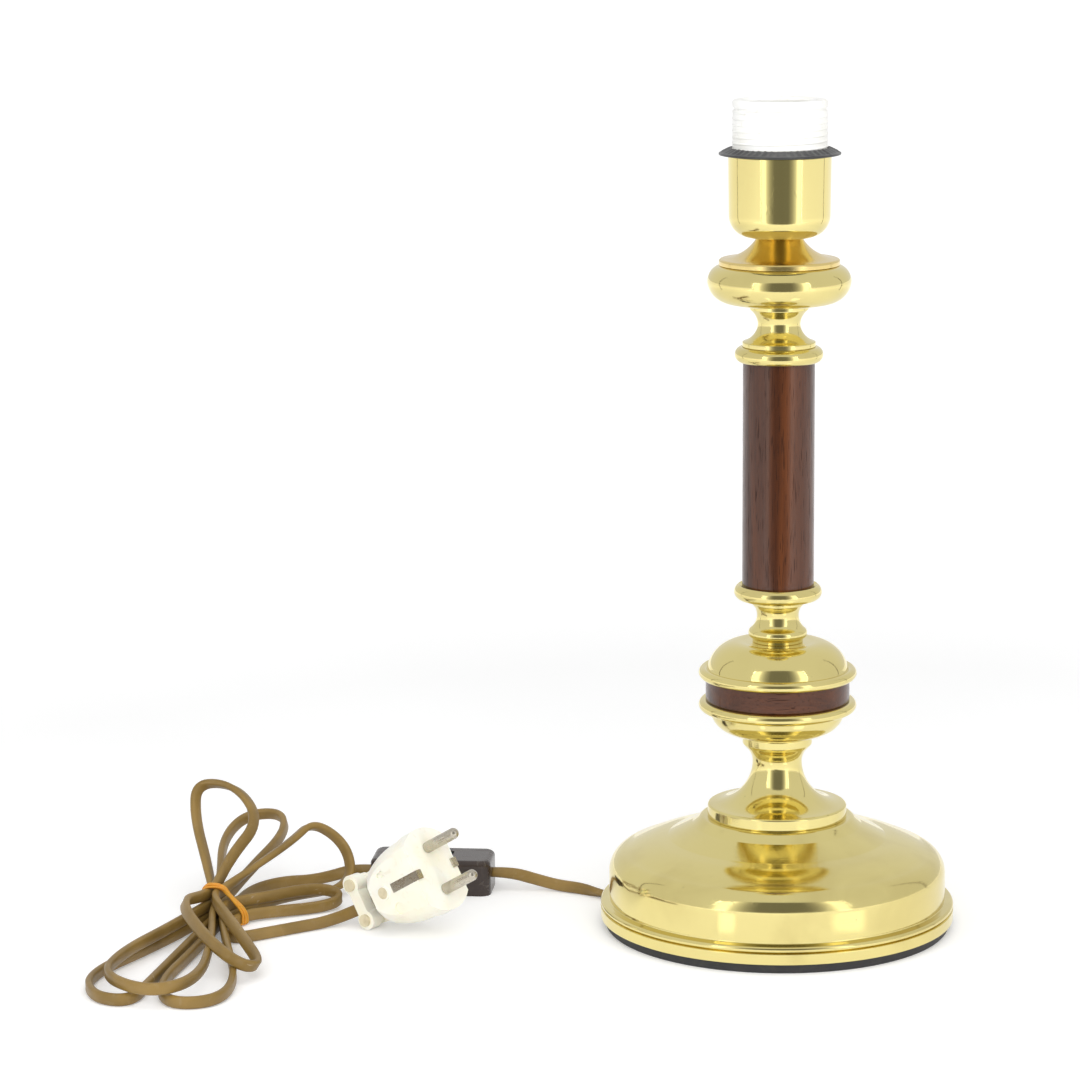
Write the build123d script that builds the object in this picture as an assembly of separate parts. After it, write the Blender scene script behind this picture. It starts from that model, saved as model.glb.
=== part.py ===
from build123d import *
import math
import os

# Table lamp of polished brass and mahogany on a tube, with a bare lampholder
# and a shade ring, a flat cord with a switch, a tied hank and a mains plug.
# Lengths are millimetres. The lamp's axis is Z and the floor is at zero.

os.makedirs("parts", exist_ok=True)

# Threaded tube, the clearance of what it carries, and cuts
tube_r = 5.0
tube_wall = 0.9
tube_bottom = 13.5
bore_play = 0.3
thread_play = 0.03
skin_gap = 0.3
overrun = 4.0
sheet = 1.2
chamfer_w = 0.6

# Round foot: black plate, spun shell and iron weight
plate_inset = 2.1
plate_h = 4.2
plate_hole_r = 16.0
foot_edge_r = 74.7
foot_edge_h = 4.4
foot_bead_r = 1.3
foot_band_inset = 3.6
foot_step_h = 0.4
shoulder_r = 9.4
shoulder_z = 23.6
shoulder_lean = 78.0
saddle_r = 50.0
saddle_z = 38.0
throat_r = 32.8
throat_z = 46.8
foot_top_r = 31.2
foot_top_z = 47.7
foot_wall = 1.0
foot_hem = 3.2
weight_inset = 12.7
weight_h = 8.6
weight_edge = 2.0
pillar_r = 13.0
pillar_foot_r = 22.0
pocket_z = 20.0

# Turned spool between foot and bowl
spool_disc_r = 29.3
spool_disc_h = 5.2
spool_waist_r = 10.4
spool_waist_z = 71.5
spool_neck_r = 13.4
spool_neck_h = 4.7
spool_top_r = 14.65
spool_top_h = 3.2
spool_seat = 2.8
spool_hollow_h = 12.0

# Bowl, wooden ring and dome, with a round bead on each cup
bowl_z = 82.2
bowl_foot_r = 12.0
bowl_turn_r = 23.5
bowl_turn_h = 3.2
bowl_r = 28.2
bowl_h = 10.4
bead_r = 2.3
bead_out_r = 33.2
ring_low_z = 98.0
ring_r = 30.2
ring_h = 9.2
spigot_play = 0.2
spigot_h = 3.0
dome_h = 15.5
dome_flat_r = 14.0

# Lower neck, collars and column
neck_foot_r = 10.6
neck_foot_h = 1.5
neck_bead_r = 11.5
neck_bead_h = 4.2
neck_waist_r = 9.6
neck_cove_h = 8.8
neck_lip_r = 10.9
neck_lip_h = 2.0
neck_top_z = 140.8
collar_foot_r = 15.9
collar_h = 6.3
collar_seat = 4.3
collar_lip = 1.4
column_r = 15.0
column_play = 0.05
column_length = 102.5

# Upper neck, knob and cone
upper_foot_r = 15.2
upper_foot_h = 2.0
upper_waist_r = 8.87
upper_waist_h = 9.3
upper_lip_r = 12.3
upper_lip_h = 2.5
upper_lip_step = 1.0
upper_h = 18.1
knob_r = 29.8
knob_h = 15.8
knob_belly_h = 8.4
knob_foot_r = 21.0
knob_top_r = 24.6
cone_r = 25.0
cone_rim_h = 1.9
cone_top_r = 9.3
cone_h = 11.4

# Cup that hides the lampholder
cup_r = 21.3
cup_waist_r = 21.0
cup_h = 33.6
cup_round_r = 9.0
cup_wall = 0.8

# Lampholder: sleeve, base, porcelain, screw shell and contacts
holder_r = 19.85
sleeve_rise = 17.8
sleeve_h = 37.0
sleeve_wall = 2.2
sleeve_step = 0.3
sleeve_groove = 0.7
sleeve_groove_h = 1.0
sleeve_brim = 2.5
sleeve_mouth_r = 14.4
sleeve_collar_h = 19.0
sleeve_edge = 0.8
cap_bore_r = 13.3
screw_wall = 0.45
screw_h = 24.5
screw_floor_r = 8.0
screw_shoulder = 3.6
holder_base_h = 20.0
holder_base_wall = 1.5
holder_hub_r = 8.0
holder_hub_h = 2.6
core_r = 15.6
core_h = 15.8
core_seat_h = 8.3
contact_r = 4.0
contact_h = 1.5
contact_stem_r = 2.4
contact_stem_h = 10.0
contact_travel = 1.5
slide_play = 0.06
block_w = 5.0
block_depth = 6.4
block_h = 4.4
block_r = 10.4
block_screw_r = 1.3
block_screw_head_r = 2.0
block_screw_head_h = 1.0

# Shade ring that turns on the sleeve's thread
shade_ring_r = 25.1
shade_ring_edge = 1.2
shade_ring_hub_r = 21.5
shade_ring_h = 4.7
shade_ring_slope = 0.6
ring_notches = 24
notch_w = 1.4
notch_depth = 0.9
turn_play = 0.07

# Nuts and washer
nut_w = 15.0
nut_h = 4.0
cup_nut_h = 2.5
washer_r = 10.5
washer_h = 1.4

# Cord: flat twin, 5.2 by 3.2, drawn as a round tube of like section
cord_r = 2.0
cord_floor_z = 2.1
cord_angle = 152.0
channel_w = 6.0
grommet_w = 9.0
grommet_length = 7.0
grommet_roof = 1.4
inner_bend_r = 10.6
cord_rim = 0.2

# Switch in the cord
switch_length = 53.0
switch_w = 24.5
switch_h = 15.5
switch_split = 7.0
switch_corner_r = 4.5
switch_edge_r = 2.4
switch_wall = 1.8
switch_x = -147.5
switch_y = 57.5
switch_turn = -6.0
switch_cord_z = 7.75
rocker_length = 17.0
rocker_foot_length = 15.2
rocker_w = 9.0
rocker_play = 0.5
rocker_rise = 2.6
rocker_depth = 2.6
rocker_throw = 9.0
pivot_z = 13.2
pivot_r = 1.2
pivot_reach = 1.6
pivot_lug = 2.2
pivot_play = 0.05
strip_length = 12.0
strip_w = 4.6
strip_h = 3.0
strip_gap = 3.6
case_screw_r = 1.4
case_screw_head_r = 2.6
case_screw_head_h = 1.6
case_screw_x = 20.5
case_screw_length = 8.0
boss_wall = 2.4

# Mains plug, its pins up and to the front, resting on its cord clamp
plug_x = -144.0
plug_y = -20.0
plug_z = 30.6
plug_turn = -37.3
plug_pitch = 30.7
plug_face_r = 18.5
plug_length = 28.0
plug_collar = 7.0
plug_step = 0.9
plug_rear_r = 14.0
plug_flat = 13.2
plug_wall = 2.2
tail_root = 4.0
tail_h = 4.4
tail_low = 11.5
tail_high = 12.5
tail_end_low = 6.5
tail_end_high = 9.5
tail_end = 46.0
clamp_x = 41.0
pin_r = 2.4
pin_length = 19.0
pin_pitch = 19.0
pin_root = 8.0
pin_root_r = 2.1
pin_terminal = 6.0
pin_play = 0.05
earth_w = 4.0
earth_h = 1.0
earth_length = 16.4
earth_lip = 3.0
plug_boss_r = 3.4
plug_boss_rise = 0.7
plug_boss_x = 20.6
plug_screw_r = 1.6
plug_screw_head_r = 2.5
plug_screw_head_h = 1.4
plug_screw_length = 19.0
key_x = 17.5
key_z = 7.5
key_r = 1.5
key_w = 1.6
key_length = 3.4
key_depth = 1.2
dimple_x = 15.8
dimple_z = 8.9
dimple_r = 2.6
clamp_z = 2.0
clamp_pitch = 16.2
clamp_lobe_r = 4.2
clamp_post_r = 3.4
clamp_web = 5.4
clamp_thick = 5.6
clamp_screw_r = 1.5
clamp_screw_head_r = 2.6
clamp_screw_head_h = 1.2
clamp_screw_length = 9.0
wire_r = 1.0
cord_end = 39.5
cord_bend_x = 48.5
wire_pocket_w = 12.0
wire_pocket_h = 1.6

# Cord routes along the floor, as real places
mouth_run = 10.6
switch_run = 8.5
lamp_route = [(-82.4, 45.6, 2.2), (-92.6, 50.6, 2.6), (-103.0, 53.2, 5.0)]
switch_route = [(-191.8, 62.0, 4.6), (-201.8, 60.6, 2.9), (-212.0, 60.0, 2.1),
                (-221.6, 53.0, 2.1), (-228.0, 42.0, 2.1), (-231.0, 28.5, 2.5)]
plug_route = [(-191.0, -2.8, 2.3), (-202.2, -9.8, 2.1), (-214.4, -17.6, 2.1), (-226.4, -25.4, 2.1),
              (-231.6, -22.5, 2.6)]
wire_route = [(-39.5, 0.0, 1.15), (-34.5, 0.0, 1.15), (-29.0, -1.6, 3.15), (-22.9, -1.5, 6.9),
              (-18.4, 0.0, 9.5), (-14.0, 0.0, 9.5)]

# Hank: nine strands through the tie, in three rows, and eight loops
waist_x = -236.0
waist_y = 3.0
waist_turn = 70.0
waist_length = 11.0
waist_lead = 4.5
lead_run = 6.7
lane_pitch = 5.6
lane_rise = 5.0
lane_low_z = 3.6
tie_r = 0.6
tie_turns = 3
tie_pitch = 1.6
tie_play = 0.3
sample_step = 2.0
# Column and row of each strand in the tie, in the order of the cord
lane_shares = [(-0.5, 0), (-1.5, 0), (-0.5, 1), (-1.5, 1), (-1.5, 2), (-0.5, 2), (0.5, 0), (0.5, 1),
               (1.65, 0)]
# The columns and rows at the corners of the bundle, which the tie goes round
tie_corner_shares = [(-1.5, 0), (1.65, 0), (-0.5, 2), (-1.5, 2)]
# Each loop: the middle of its far end, then how its outward and its returning side stand off there
loop_tips = [(-262.5, -108.5, 2.6), (-224.0, 86.0, 27.5), (-273.0, -105.0, 8.4), (-248.0, 62.0, 51.8),
             (-208.0, -89.0, 2.8), (-200.0, 56.0, 33.5), (-236.5, -112.0, 2.5), (-187.5, 27.0, 5.5)]
loop_out_sides = [(-1.0, -5.0, 0.0), (-14.0, 2.0, -3.0), (30.0, -22.0, 0.0), (-5.5, 3.0, -7.6),
                  (-24.0, 11.0, 9.0), (0.5, -2.0, -3.0), (-19.0, -5.0, 0.0), (-3.0, 5.0, 2.6)]
loop_back_sides = [(-28.0, 6.0, 0.0), (15.0, -2.0, 0.0), (-6.0, 16.0, 0.0), (25.0, -3.0, -9.0),
                   (-9.0, 24.0, 4.5), (26.0, 2.0, -24.0), (14.0, 1.0, -0.5), (2.0, -3.0, -2.4)]
# The places on a side: how far along the loop, and how much it stands off there
loop_reach_shares = (0.34, 0.76, 1.0)
loop_stand_shares = (0.35, 0.95, 0.6)
# How much each outward side stands off at its first place
loop_start_shares = [0.35, 0.35, 0.5, 0.35, 0.85, 0.35, 0.35, 0.35]

# How round each curve of the outlines is: its rise as a share of its chord
quarter_share = 0.2071
half_share = 0.5
shoulder_share = 0.177
saddle_share = 0.03
throat_share = 0.09
spool_top_share = 0.10
spool_hollow_share = 0.12
bowl_low_share = 0.065
bowl_high_share = 0.115
bowl_bead_share = 0.76
bead_join_share = 0.68
bead_rise_share = 0.79
dome_bead_share = 0.70
dome_share = 0.2065
neck_bead_share = 0.30
neck_cove_share = 0.18
collar_share = 0.356
upper_cove_share = 0.155
upper_throat_share = 0.095
knob_low_share = 0.175
knob_high_share = 0.184
cone_share = 0.132
base_dome_share = 0.18
plug_body_share = 0.06
rocker_top_share = 0.05
rocker_end_share = 0.03
arc_fill_share = 0.45

# Heights and radii that follow from the sizes above
clear_r = tube_r + bore_play
plate_r = foot_edge_r - plate_inset
foot_band_r = foot_edge_r - foot_band_inset
weight_r = foot_edge_r - weight_inset
screwed_r = tube_r + thread_play
bead_mid_r = bead_out_r - bead_r
rim_r = bead_mid_r - bead_r
dome_top_z = ring_low_z + ring_h + dome_h
column_low_z = neck_top_z + collar_h - collar_seat
upper_z = column_low_z + column_length + collar_h - collar_seat
knob_z = upper_z + upper_h
cone_z = knob_z + knob_h
cup_z = cone_z + cone_h
ring_z = cup_z + cup_h + skin_gap
holder_top_z = ring_z + shade_ring_h + sleeve_rise
base_z = cup_z + cup_wall + cup_nut_h
core_z = base_z + core_seat_h
sleeve_bore_r = holder_r - sleeve_wall
grommet_out_r = foot_edge_r - foot_hem - skin_gap
grommet_in_r = grommet_out_r - grommet_length
nut_z = pocket_z - washer_h - nut_h
along_x = (1, 0, 0)
along_y = (0, 1, 0)
along_z = (0, 0, 1)
square_turn = 90.0
foot_first = (Align.CENTER, Align.CENTER, Align.MIN)


def section(*steps):
    """A flat face; a step of two numbers ends a line, and a third is an arc's rise share."""
    edges = []
    here = steps[-1]
    for step in steps:
        start, end = here[:2], step[:2]
        if len(step) > 2:
            across, up = end[0] - start[0], end[1] - start[1]
            middle = ((start[0] + end[0]) / 2 + step[2] * up, (start[1] + end[1]) / 2 - step[2] * across)
            edges.append(ThreePointArc(start, middle, end))
        elif start != end:
            edges.append(Line(start, end))
        here = step
    return make_face(edges)


def turned(*steps):
    """A solid of revolution about Z; steps hold radius and height."""
    return revolve(Plane.XZ * section(*steps), Axis.Z)


def ring(inner_r, outer_r, low, high):
    return turned((inner_r, low), (outer_r, low), (outer_r, high), (inner_r, high))


def block(low, high):
    """A box between two corners."""
    size = [end - start for start, end in zip(low, high)]
    return Pos(*low) * Box(*size, align=(Align.MIN, Align.MIN, Align.MIN))


def bar(start, axis, radius, length):
    return Plane(origin=start, z_dir=axis) * Cylinder(radius, length, align=foot_first)


def heading(turn, pitch=0):
    """A unit vector: a turn about Z and a rise from the floor, in degrees."""
    flat = math.cos(math.radians(pitch))
    return Vector(flat * math.cos(math.radians(turn)), flat * math.sin(math.radians(turn)),
                  math.sin(math.radians(pitch)))


def around(count):
    return [360 * number / count for number in range(count)]


def channel(inner_r, outer_r, width, low, high):
    """A radial space for the cord in the foot."""
    body = block((0, -width / 2, low), (outer_r + overrun, width / 2, high))
    return Rot(0, 0, cord_angle) * (body & ring(inner_r, outer_r, low, high))


def base_plate():
    plate = turned((plate_hole_r, 0), (plate_r - chamfer_w, 0), (plate_r, chamfer_w),
                   (plate_r, plate_h), (plate_hole_r, plate_h))
    plate -= channel(plate_hole_r - overrun, plate_r + overrun, channel_w, -overrun, plate_h + overrun)
    return plate - channel(grommet_in_r, grommet_out_r, grommet_w, -overrun, plate_h + overrun)


def cord_grommet():
    """A saddle in the plate that the cord passes under on its way out."""
    saddle = channel(grommet_in_r, grommet_out_r, grommet_w, 0, plate_h + grommet_roof)
    gap = cord_r + skin_gap
    top = cord_floor_z + gap
    return saddle - channel(grommet_in_r - overrun, grommet_out_r + overrun, 2 * gap, -overrun, top)


def shell_outline(wall):
    """The spun shell from its rim to its flat top, drawn in by a wall."""
    step_z = plate_h + foot_edge_h
    bead_mid = foot_edge_r - foot_bead_r
    band_z = step_z + 2 * (foot_step_h + foot_bead_r)
    lean = math.radians(shoulder_lean)
    round_r = shoulder_r - wall
    rim = [(foot_edge_r, plate_h), (foot_edge_r, step_z), (bead_mid, step_z + foot_step_h),
           (bead_mid, band_z - foot_step_h, half_share)]
    if wall > 0:
        rim = [(foot_edge_r - wall, plate_h), (foot_edge_r - wall, step_z - wall), (bead_mid - wall, step_z),
               (bead_mid - wall, band_z - wall)]
    return rim + [(foot_band_r - wall, band_z - wall), (foot_band_r - wall, shoulder_z),
                  (foot_band_r - shoulder_r + round_r * math.cos(lean),
                   shoulder_z + round_r * math.sin(lean), shoulder_share),
                  (saddle_r, saddle_z - wall, saddle_share),
                  (throat_r - wall / 2, throat_z - wall / 2, -throat_share),
                  (foot_top_r - wall / 2, foot_top_z - wall, throat_share)]


def base_shell():
    """A spun shell with a turned-in rim; its flat top has the tube's hole."""
    outside = turned((0, plate_h), *shell_outline(0), (0, foot_top_z))
    inside = turned((0, plate_h), *shell_outline(foot_wall), (0, foot_top_z - foot_wall))
    hem = ring(foot_edge_r - foot_hem, foot_edge_r, plate_h, plate_h + foot_wall)
    return outside - inside + hem - bar((0, 0, 0), along_z, clear_r, foot_top_z + overrun)


def base_weight():
    """Cast iron: a disc, and a pillar with a pocket for the nut, up to the shell's top."""
    under = foot_top_z - foot_wall
    disc_z = plate_h + weight_h
    return turned((clear_r, pocket_z), (plate_hole_r, pocket_z), (plate_hole_r, plate_h),
                  (weight_r - weight_edge, plate_h), (weight_r, plate_h + weight_edge),
                  (weight_r, disc_z - weight_edge), (weight_r - weight_edge, disc_z),
                  (pillar_foot_r, disc_z), (pillar_r, disc_z + pillar_foot_r - pillar_r, -quarter_share),
                  (pillar_r, under), (clear_r, under))


def bottom_washer():
    return ring(clear_r, washer_r, pocket_z - washer_h, pocket_z)


def hex_nut(low, height):
    """A six-sided nut on the tube."""
    body = Pos(0, 0, low) * extrude(RegularPolygon(nut_w / 2, 6, major_radius=False), height)
    return body - ring(0, screwed_r, low - overrun, low + height + overrun)


def foot_spool():
    """A cast spool, hollow below, from a wide disc to the bowl's seat."""
    disc_z = foot_top_z + spool_disc_h
    neck_z = bowl_z - spool_neck_h
    hollow_z = foot_top_z + spool_hollow_h
    return turned((spool_disc_r - spool_seat, foot_top_z), (spool_disc_r, foot_top_z),
                  (spool_disc_r, disc_z - chamfer_w), (spool_disc_r - chamfer_w, disc_z),
                  (spool_waist_r, spool_waist_z, -quarter_share), (spool_neck_r, neck_z, -spool_top_share),
                  (spool_top_r, bowl_z - spool_top_h), (spool_top_r, bowl_z), (clear_r, bowl_z),
                  (clear_r, hollow_z), (spool_waist_r - sheet, hollow_z),
                  (spool_disc_r - spool_seat, foot_top_z + spool_seat, spool_hollow_share))


def lower_bowl():
    """A spun cup; its rolled rim carries the wooden ring."""
    turn_z = bowl_z + bowl_turn_h
    side_z = bowl_z + bowl_h
    bead_z = ring_low_z - bead_r
    seat_z = ring_low_z - spigot_h - spigot_play
    return turned((clear_r, bowl_z), (bowl_foot_r, bowl_z), (bowl_turn_r, turn_z, bowl_low_share),
                  (bowl_r, side_z, bowl_high_share), (rim_r + chamfer_w, bead_z - bead_r * bead_join_share),
                  (bead_mid_r, ring_low_z, bowl_bead_share), (rim_r, ring_low_z), (rim_r, seat_z),
                  (bowl_r - sheet, side_z), (bowl_turn_r - sheet / 2, turn_z + sheet, -bowl_high_share),
                  (bowl_foot_r, bowl_z + sheet, -bowl_low_share), (clear_r, bowl_z + sheet))


def wood_ring():
    """A turned ring with a spigot below and above that centre the two cups."""
    top = ring_low_z + ring_h
    spigot_r = rim_r - spigot_play
    foot_z = ring_low_z - spigot_h
    return turned((clear_r, foot_z), (spigot_r, foot_z), (spigot_r, ring_low_z), (ring_r, ring_low_z),
                  (ring_r, top), (spigot_r, top), (spigot_r, top + spigot_h), (clear_r, top + spigot_h))


def upper_dome():
    """A spun dome with the same rolled rim, upside down."""
    low = ring_low_z + ring_h
    side_r = rim_r + bead_r * bead_join_share - sheet / 2
    side_z = low + bead_r + bead_r * bead_rise_share
    under = dome_top_z - sheet
    return turned((rim_r, low), (bead_mid_r, low), (side_r, side_z, dome_bead_share),
                  (dome_flat_r, dome_top_z, dome_share), (clear_r, dome_top_z), (clear_r, under),
                  (dome_flat_r, under), (rim_r, side_z - chamfer_w, -dome_share))


def lower_neck():
    """A turned neck: a bead, a hollow and a lip under the collar."""
    foot_z = dome_top_z + neck_foot_h
    bead_z = foot_z + neck_bead_h
    cove_z = bead_z + neck_cove_h
    lip_z = neck_top_z - neck_lip_h
    return turned((clear_r, dome_top_z), (neck_foot_r, dome_top_z), (neck_foot_r, foot_z),
                  (neck_bead_r, bead_z, neck_bead_share), (neck_waist_r, cove_z, -neck_cove_share),
                  (neck_lip_r, lip_z), (neck_lip_r, neck_top_z), (clear_r, neck_top_z))


def collar():
    """A ferrule with a round bead, from zero up; the column's end stands in its seat."""
    seat_r = column_r + column_play
    floor = collar_h - collar_seat
    return turned((clear_r, 0), (collar_foot_r, 0), (seat_r + collar_lip, collar_h, collar_share),
                  (seat_r, collar_h - collar_lip), (seat_r, floor), (clear_r, floor))


def lower_collar():
    return Pos(0, 0, neck_top_z) * collar()


def upper_collar():
    return Pos(0, 0, upper_z) * mirror(collar(), Plane.XY)


def wood_column():
    return ring(clear_r, column_r, column_low_z, column_low_z + column_length)


def upper_neck():
    """A foot on the collar, a hollow and a lip under the knob."""
    foot_z = upper_z + upper_foot_h
    lip_z = knob_z - upper_lip_h
    return turned((clear_r, upper_z), (upper_foot_r, upper_z), (upper_foot_r, foot_z),
                  (upper_foot_r - chamfer_w, foot_z + chamfer_w / 2),
                  (upper_waist_r, upper_z + upper_waist_h, -upper_cove_share),
                  (upper_lip_r - upper_lip_step, lip_z - upper_lip_step, -upper_throat_share),
                  (upper_lip_r, lip_z), (upper_lip_r, knob_z), (clear_r, knob_z))


def knob():
    """A hollow flattened ball between two flats."""
    belly_z = knob_z + knob_belly_h
    return turned((clear_r, knob_z), (knob_foot_r, knob_z), (knob_r, belly_z, knob_low_share),
                  (knob_top_r, cone_z, knob_high_share), (clear_r, cone_z), (clear_r, cone_z - sheet),
                  (knob_top_r - sheet, cone_z - sheet), (knob_r - sheet, belly_z, -knob_high_share),
                  (knob_foot_r, knob_z + sheet, -knob_low_share), (clear_r, knob_z + sheet))


def cone_cap():
    rim_z = cone_z + cone_rim_h
    return turned((clear_r, cone_z), (cone_r, cone_z), (cone_r, rim_z),
                  (cone_r - chamfer_w, rim_z + chamfer_w), (cone_top_r, cup_z, -cone_share),
                  (clear_r, cup_z))


def cup_outline(wall):
    """The cup's round corner and its slightly open side, drawn in by a wall."""
    side_r = cup_waist_r - wall
    corner_r = cup_waist_r - cup_round_r
    return [(corner_r, cup_z + wall), (side_r, cup_z + cup_round_r, quarter_share),
            (cup_r - wall, cup_z + cup_h)]


def holder_cup():
    outside = turned((0, cup_z), *cup_outline(0), (0, cup_z + cup_h))
    inside = turned((0, cup_z + cup_wall), *cup_outline(cup_wall), (0, cup_z + cup_h))
    return outside - inside - bar((0, 0, cup_z - overrun), along_z, clear_r, cup_h)


def holder_base():
    """The lampholder's lower part: a threaded hub, a dome and a wall up to the sleeve."""
    base_r = sleeve_bore_r - thread_play
    top = base_z + holder_base_h
    dome_z = base_z + holder_hub_r
    inner_r = base_r - holder_base_wall
    ledge_r = core_r - sheet
    hub_z = base_z + holder_hub_h
    return turned((screwed_r, base_z), (holder_hub_r, base_z), (base_r, dome_z, base_dome_share),
                  (base_r, top), (inner_r, top), (inner_r, core_z), (ledge_r, core_z), (ledge_r, dome_z),
                  (holder_hub_r, hub_z, -base_dome_share), (screwed_r, hub_z))


def holder_core():
    """The porcelain, with a bore for the contact's stem."""
    top = core_z + core_h
    bore_r = contact_stem_r + slide_play
    return turned((bore_r, core_z), (core_r, core_z), (core_r, top - chamfer_w), (core_r - chamfer_w, top),
                  (bore_r, top))


def screw_shell():
    """The shell that a lamp cap screws into, its floor on the porcelain."""
    low = core_z + core_h
    outer_r = cap_bore_r + screw_wall
    top = low + screw_h
    corner_r = outer_r - screw_shoulder
    straight_z = low + screw_shoulder
    return turned((screw_floor_r, low), (corner_r, low), (outer_r, straight_z, quarter_share),
                  (outer_r, top), (cap_bore_r, top), (cap_bore_r, straight_z),
                  (corner_r, low + screw_wall, -quarter_share), (screw_floor_r, low + screw_wall))


def centre_contact():
    """A button on a stem, at the top of its travel."""
    low = core_z + core_h + contact_travel + skin_gap
    return turned((0, low - contact_stem_h), (contact_stem_r, low - contact_stem_h), (contact_stem_r, low),
                  (contact_r, low), (contact_r, low + contact_h / 2), (contact_stem_r, low + contact_h),
                  (0, low + contact_h))


def terminal_block():
    """A brass block under the porcelain, with a threaded hole for its screw."""
    body = block((block_r - block_depth, -block_w / 2, core_z - block_h), (block_r, block_w / 2, core_z))
    middle = core_z - block_h / 2
    start = (block_r - block_depth / 2, 0, middle)
    return body - bar(start, along_x, block_screw_r + thread_play, block_depth)


def terminal_screw():
    middle = core_z - block_h / 2
    shank = bar((block_r - block_depth / 2, 0, middle), along_x, block_screw_r, block_depth / 2)
    return shank + bar((block_r, 0, middle), along_x, block_screw_head_r, block_screw_head_h)


def holder_sleeve():
    """The outer sleeve: a free end for the shade, a brim, and a collar round the screw shell."""
    low = holder_top_z - sleeve_h
    brim_z = holder_top_z - sleeve_brim
    collar_z = holder_top_z - sleeve_collar_h
    collar_r = sleeve_mouth_r + sheet
    edge_z = holder_top_z - sleeve_edge
    step_z = ring_z + shade_ring_h + skin_gap
    free_z = step_z + sleeve_groove_h
    free_r = holder_r - sleeve_step
    groove_r = holder_r - sleeve_groove
    return turned((sleeve_bore_r, low), (holder_r, low), (holder_r, step_z), (groove_r, step_z),
                  (groove_r, free_z), (free_r, free_z), (free_r, edge_z),
                  (free_r - sleeve_edge, holder_top_z), (sleeve_mouth_r + sleeve_edge, holder_top_z),
                  (sleeve_mouth_r, edge_z), (sleeve_mouth_r, collar_z), (collar_r, collar_z),
                  (collar_r, brim_z), (sleeve_bore_r, brim_z))


def shade_ring():
    """A flanged ring with a toothed hub that turns on the sleeve's thread."""
    bore_r = holder_r + turn_play
    hub_z = ring_z + shade_ring_edge + shade_ring_slope
    top = ring_z + shade_ring_h
    body = turned((bore_r, ring_z), (shade_ring_r, ring_z), (shade_ring_r, ring_z + shade_ring_edge),
                  (shade_ring_hub_r, hub_z), (shade_ring_hub_r, top), (bore_r, top))
    notch_r = shade_ring_hub_r - notch_depth
    notch = block((notch_r, -notch_w / 2, hub_z), (shade_ring_r, notch_w / 2, top + overrun))
    for angle in around(ring_notches):
        body -= Rot(0, 0, angle) * notch
    return body


def threaded_tube():
    return ring(tube_r - tube_wall, tube_r, tube_bottom, base_z + holder_hub_h)


def tube_path(points):
    """Straight runs joined by arcs as large as the runs allow, and the arcs' radii."""
    places = [Vector(*point) for point in points]
    radii = []
    for before, here, after in zip(places, places[1:], places[2:]):
        turn = math.radians((here - before).get_angle(after - here))
        shorter = min((here - before).length, (after - here).length)
        radii.append(arc_fill_share * shorter / math.tan(turn / 2))
    return FilletPolyline(*places, radius=radii), radii


def tube(name, points, radius):
    """A round tube along a route; its volume is set against section times length."""
    line, radii = tube_path(points)
    body = sweep(Plane(origin=line @ 0, z_dir=line % 0) * Circle(radius), path=line)
    share = body.volume / (math.pi * radius ** 2 * line.length)
    print(name, "length", round(line.length, 1), "radii", [round(value, 1) for value in radii],
          "volume share", round(share, 4))
    return body


def grommet_mouth(onward=0):
    """Where the cord comes out of the plate, or a little further on."""
    return heading(cord_angle) * (plate_r + onward) + Vector(0, 0, cord_floor_z)


def inner_lead():
    """The cord inside the foot, up the threaded tube to the porcelain."""
    points = [grommet_mouth(), (0, 0, cord_floor_z), (0, 0, core_z - skin_gap)]
    line = FilletPolyline(*points, radius=inner_bend_r)
    return sweep(Plane(origin=line @ 0, z_dir=line % 0) * Circle(cord_r), path=line)


def lamp_lead():
    start = [grommet_mouth(), grommet_mouth(mouth_run)]
    return tube("lamp lead", start + lamp_route + [switch_end(1, switch_run), switch_end(1)], cord_r)


def switch_lead():
    start, run = hank_ends()[0]
    begin = [switch_end(-1), switch_end(-1, switch_run)]
    return tube("switch lead", begin + switch_route + [start + run, start], cord_r)


def plug_lead():
    frame = plug_frame()
    start, run = hank_ends()[1]
    inside = frame.from_local_coords(Vector(-cord_end, 0, 0))
    outside = frame.from_local_coords(Vector(-cord_bend_x, 0, 0))
    return tube("plug lead", [inside, outside] + plug_route + [start + run, start], cord_r)


def switch_frame():
    return Plane(origin=(switch_x, switch_y, 0), x_dir=heading(switch_turn), z_dir=along_z)


def switch_end(side, onward=0):
    """The middle of the end face where the cord goes in, or further out; side is 1 or -1."""
    return switch_frame().from_local_coords(Vector(side * (switch_length / 2 + onward), 0, switch_cord_z))


def case_outline(inset):
    return RectangleRounded(switch_length - 2 * inset, switch_w - 2 * inset, switch_corner_r - inset)


def cord_holes():
    """The hole in each end wall of the case; the cord's end seats on its rim."""
    through = bar((-switch_length, 0, switch_cord_z), along_x, cord_r - cord_rim, 2 * switch_length)
    reach = switch_length / 2 - switch_wall
    return through - block((-reach, -switch_w, 0), (reach, switch_w, switch_h))


def switch_base():
    """The lower half of the case with two screw posts."""
    shell = extrude(case_outline(0), switch_split)
    shell -= Pos(0, 0, switch_wall) * extrude(case_outline(switch_wall), switch_split)
    head_room = case_screw_head_h + skin_gap
    for side in (1, -1):
        x = side * case_screw_x
        shell += bar((x, 0, 0), along_z, case_screw_r + boss_wall, switch_split)
        shell -= bar((x, 0, 0), along_z, case_screw_r + thread_play, switch_split)
        shell -= bar((x, 0, 0), along_z, case_screw_head_r + skin_gap, head_room)
    return shell - cord_holes()


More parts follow.
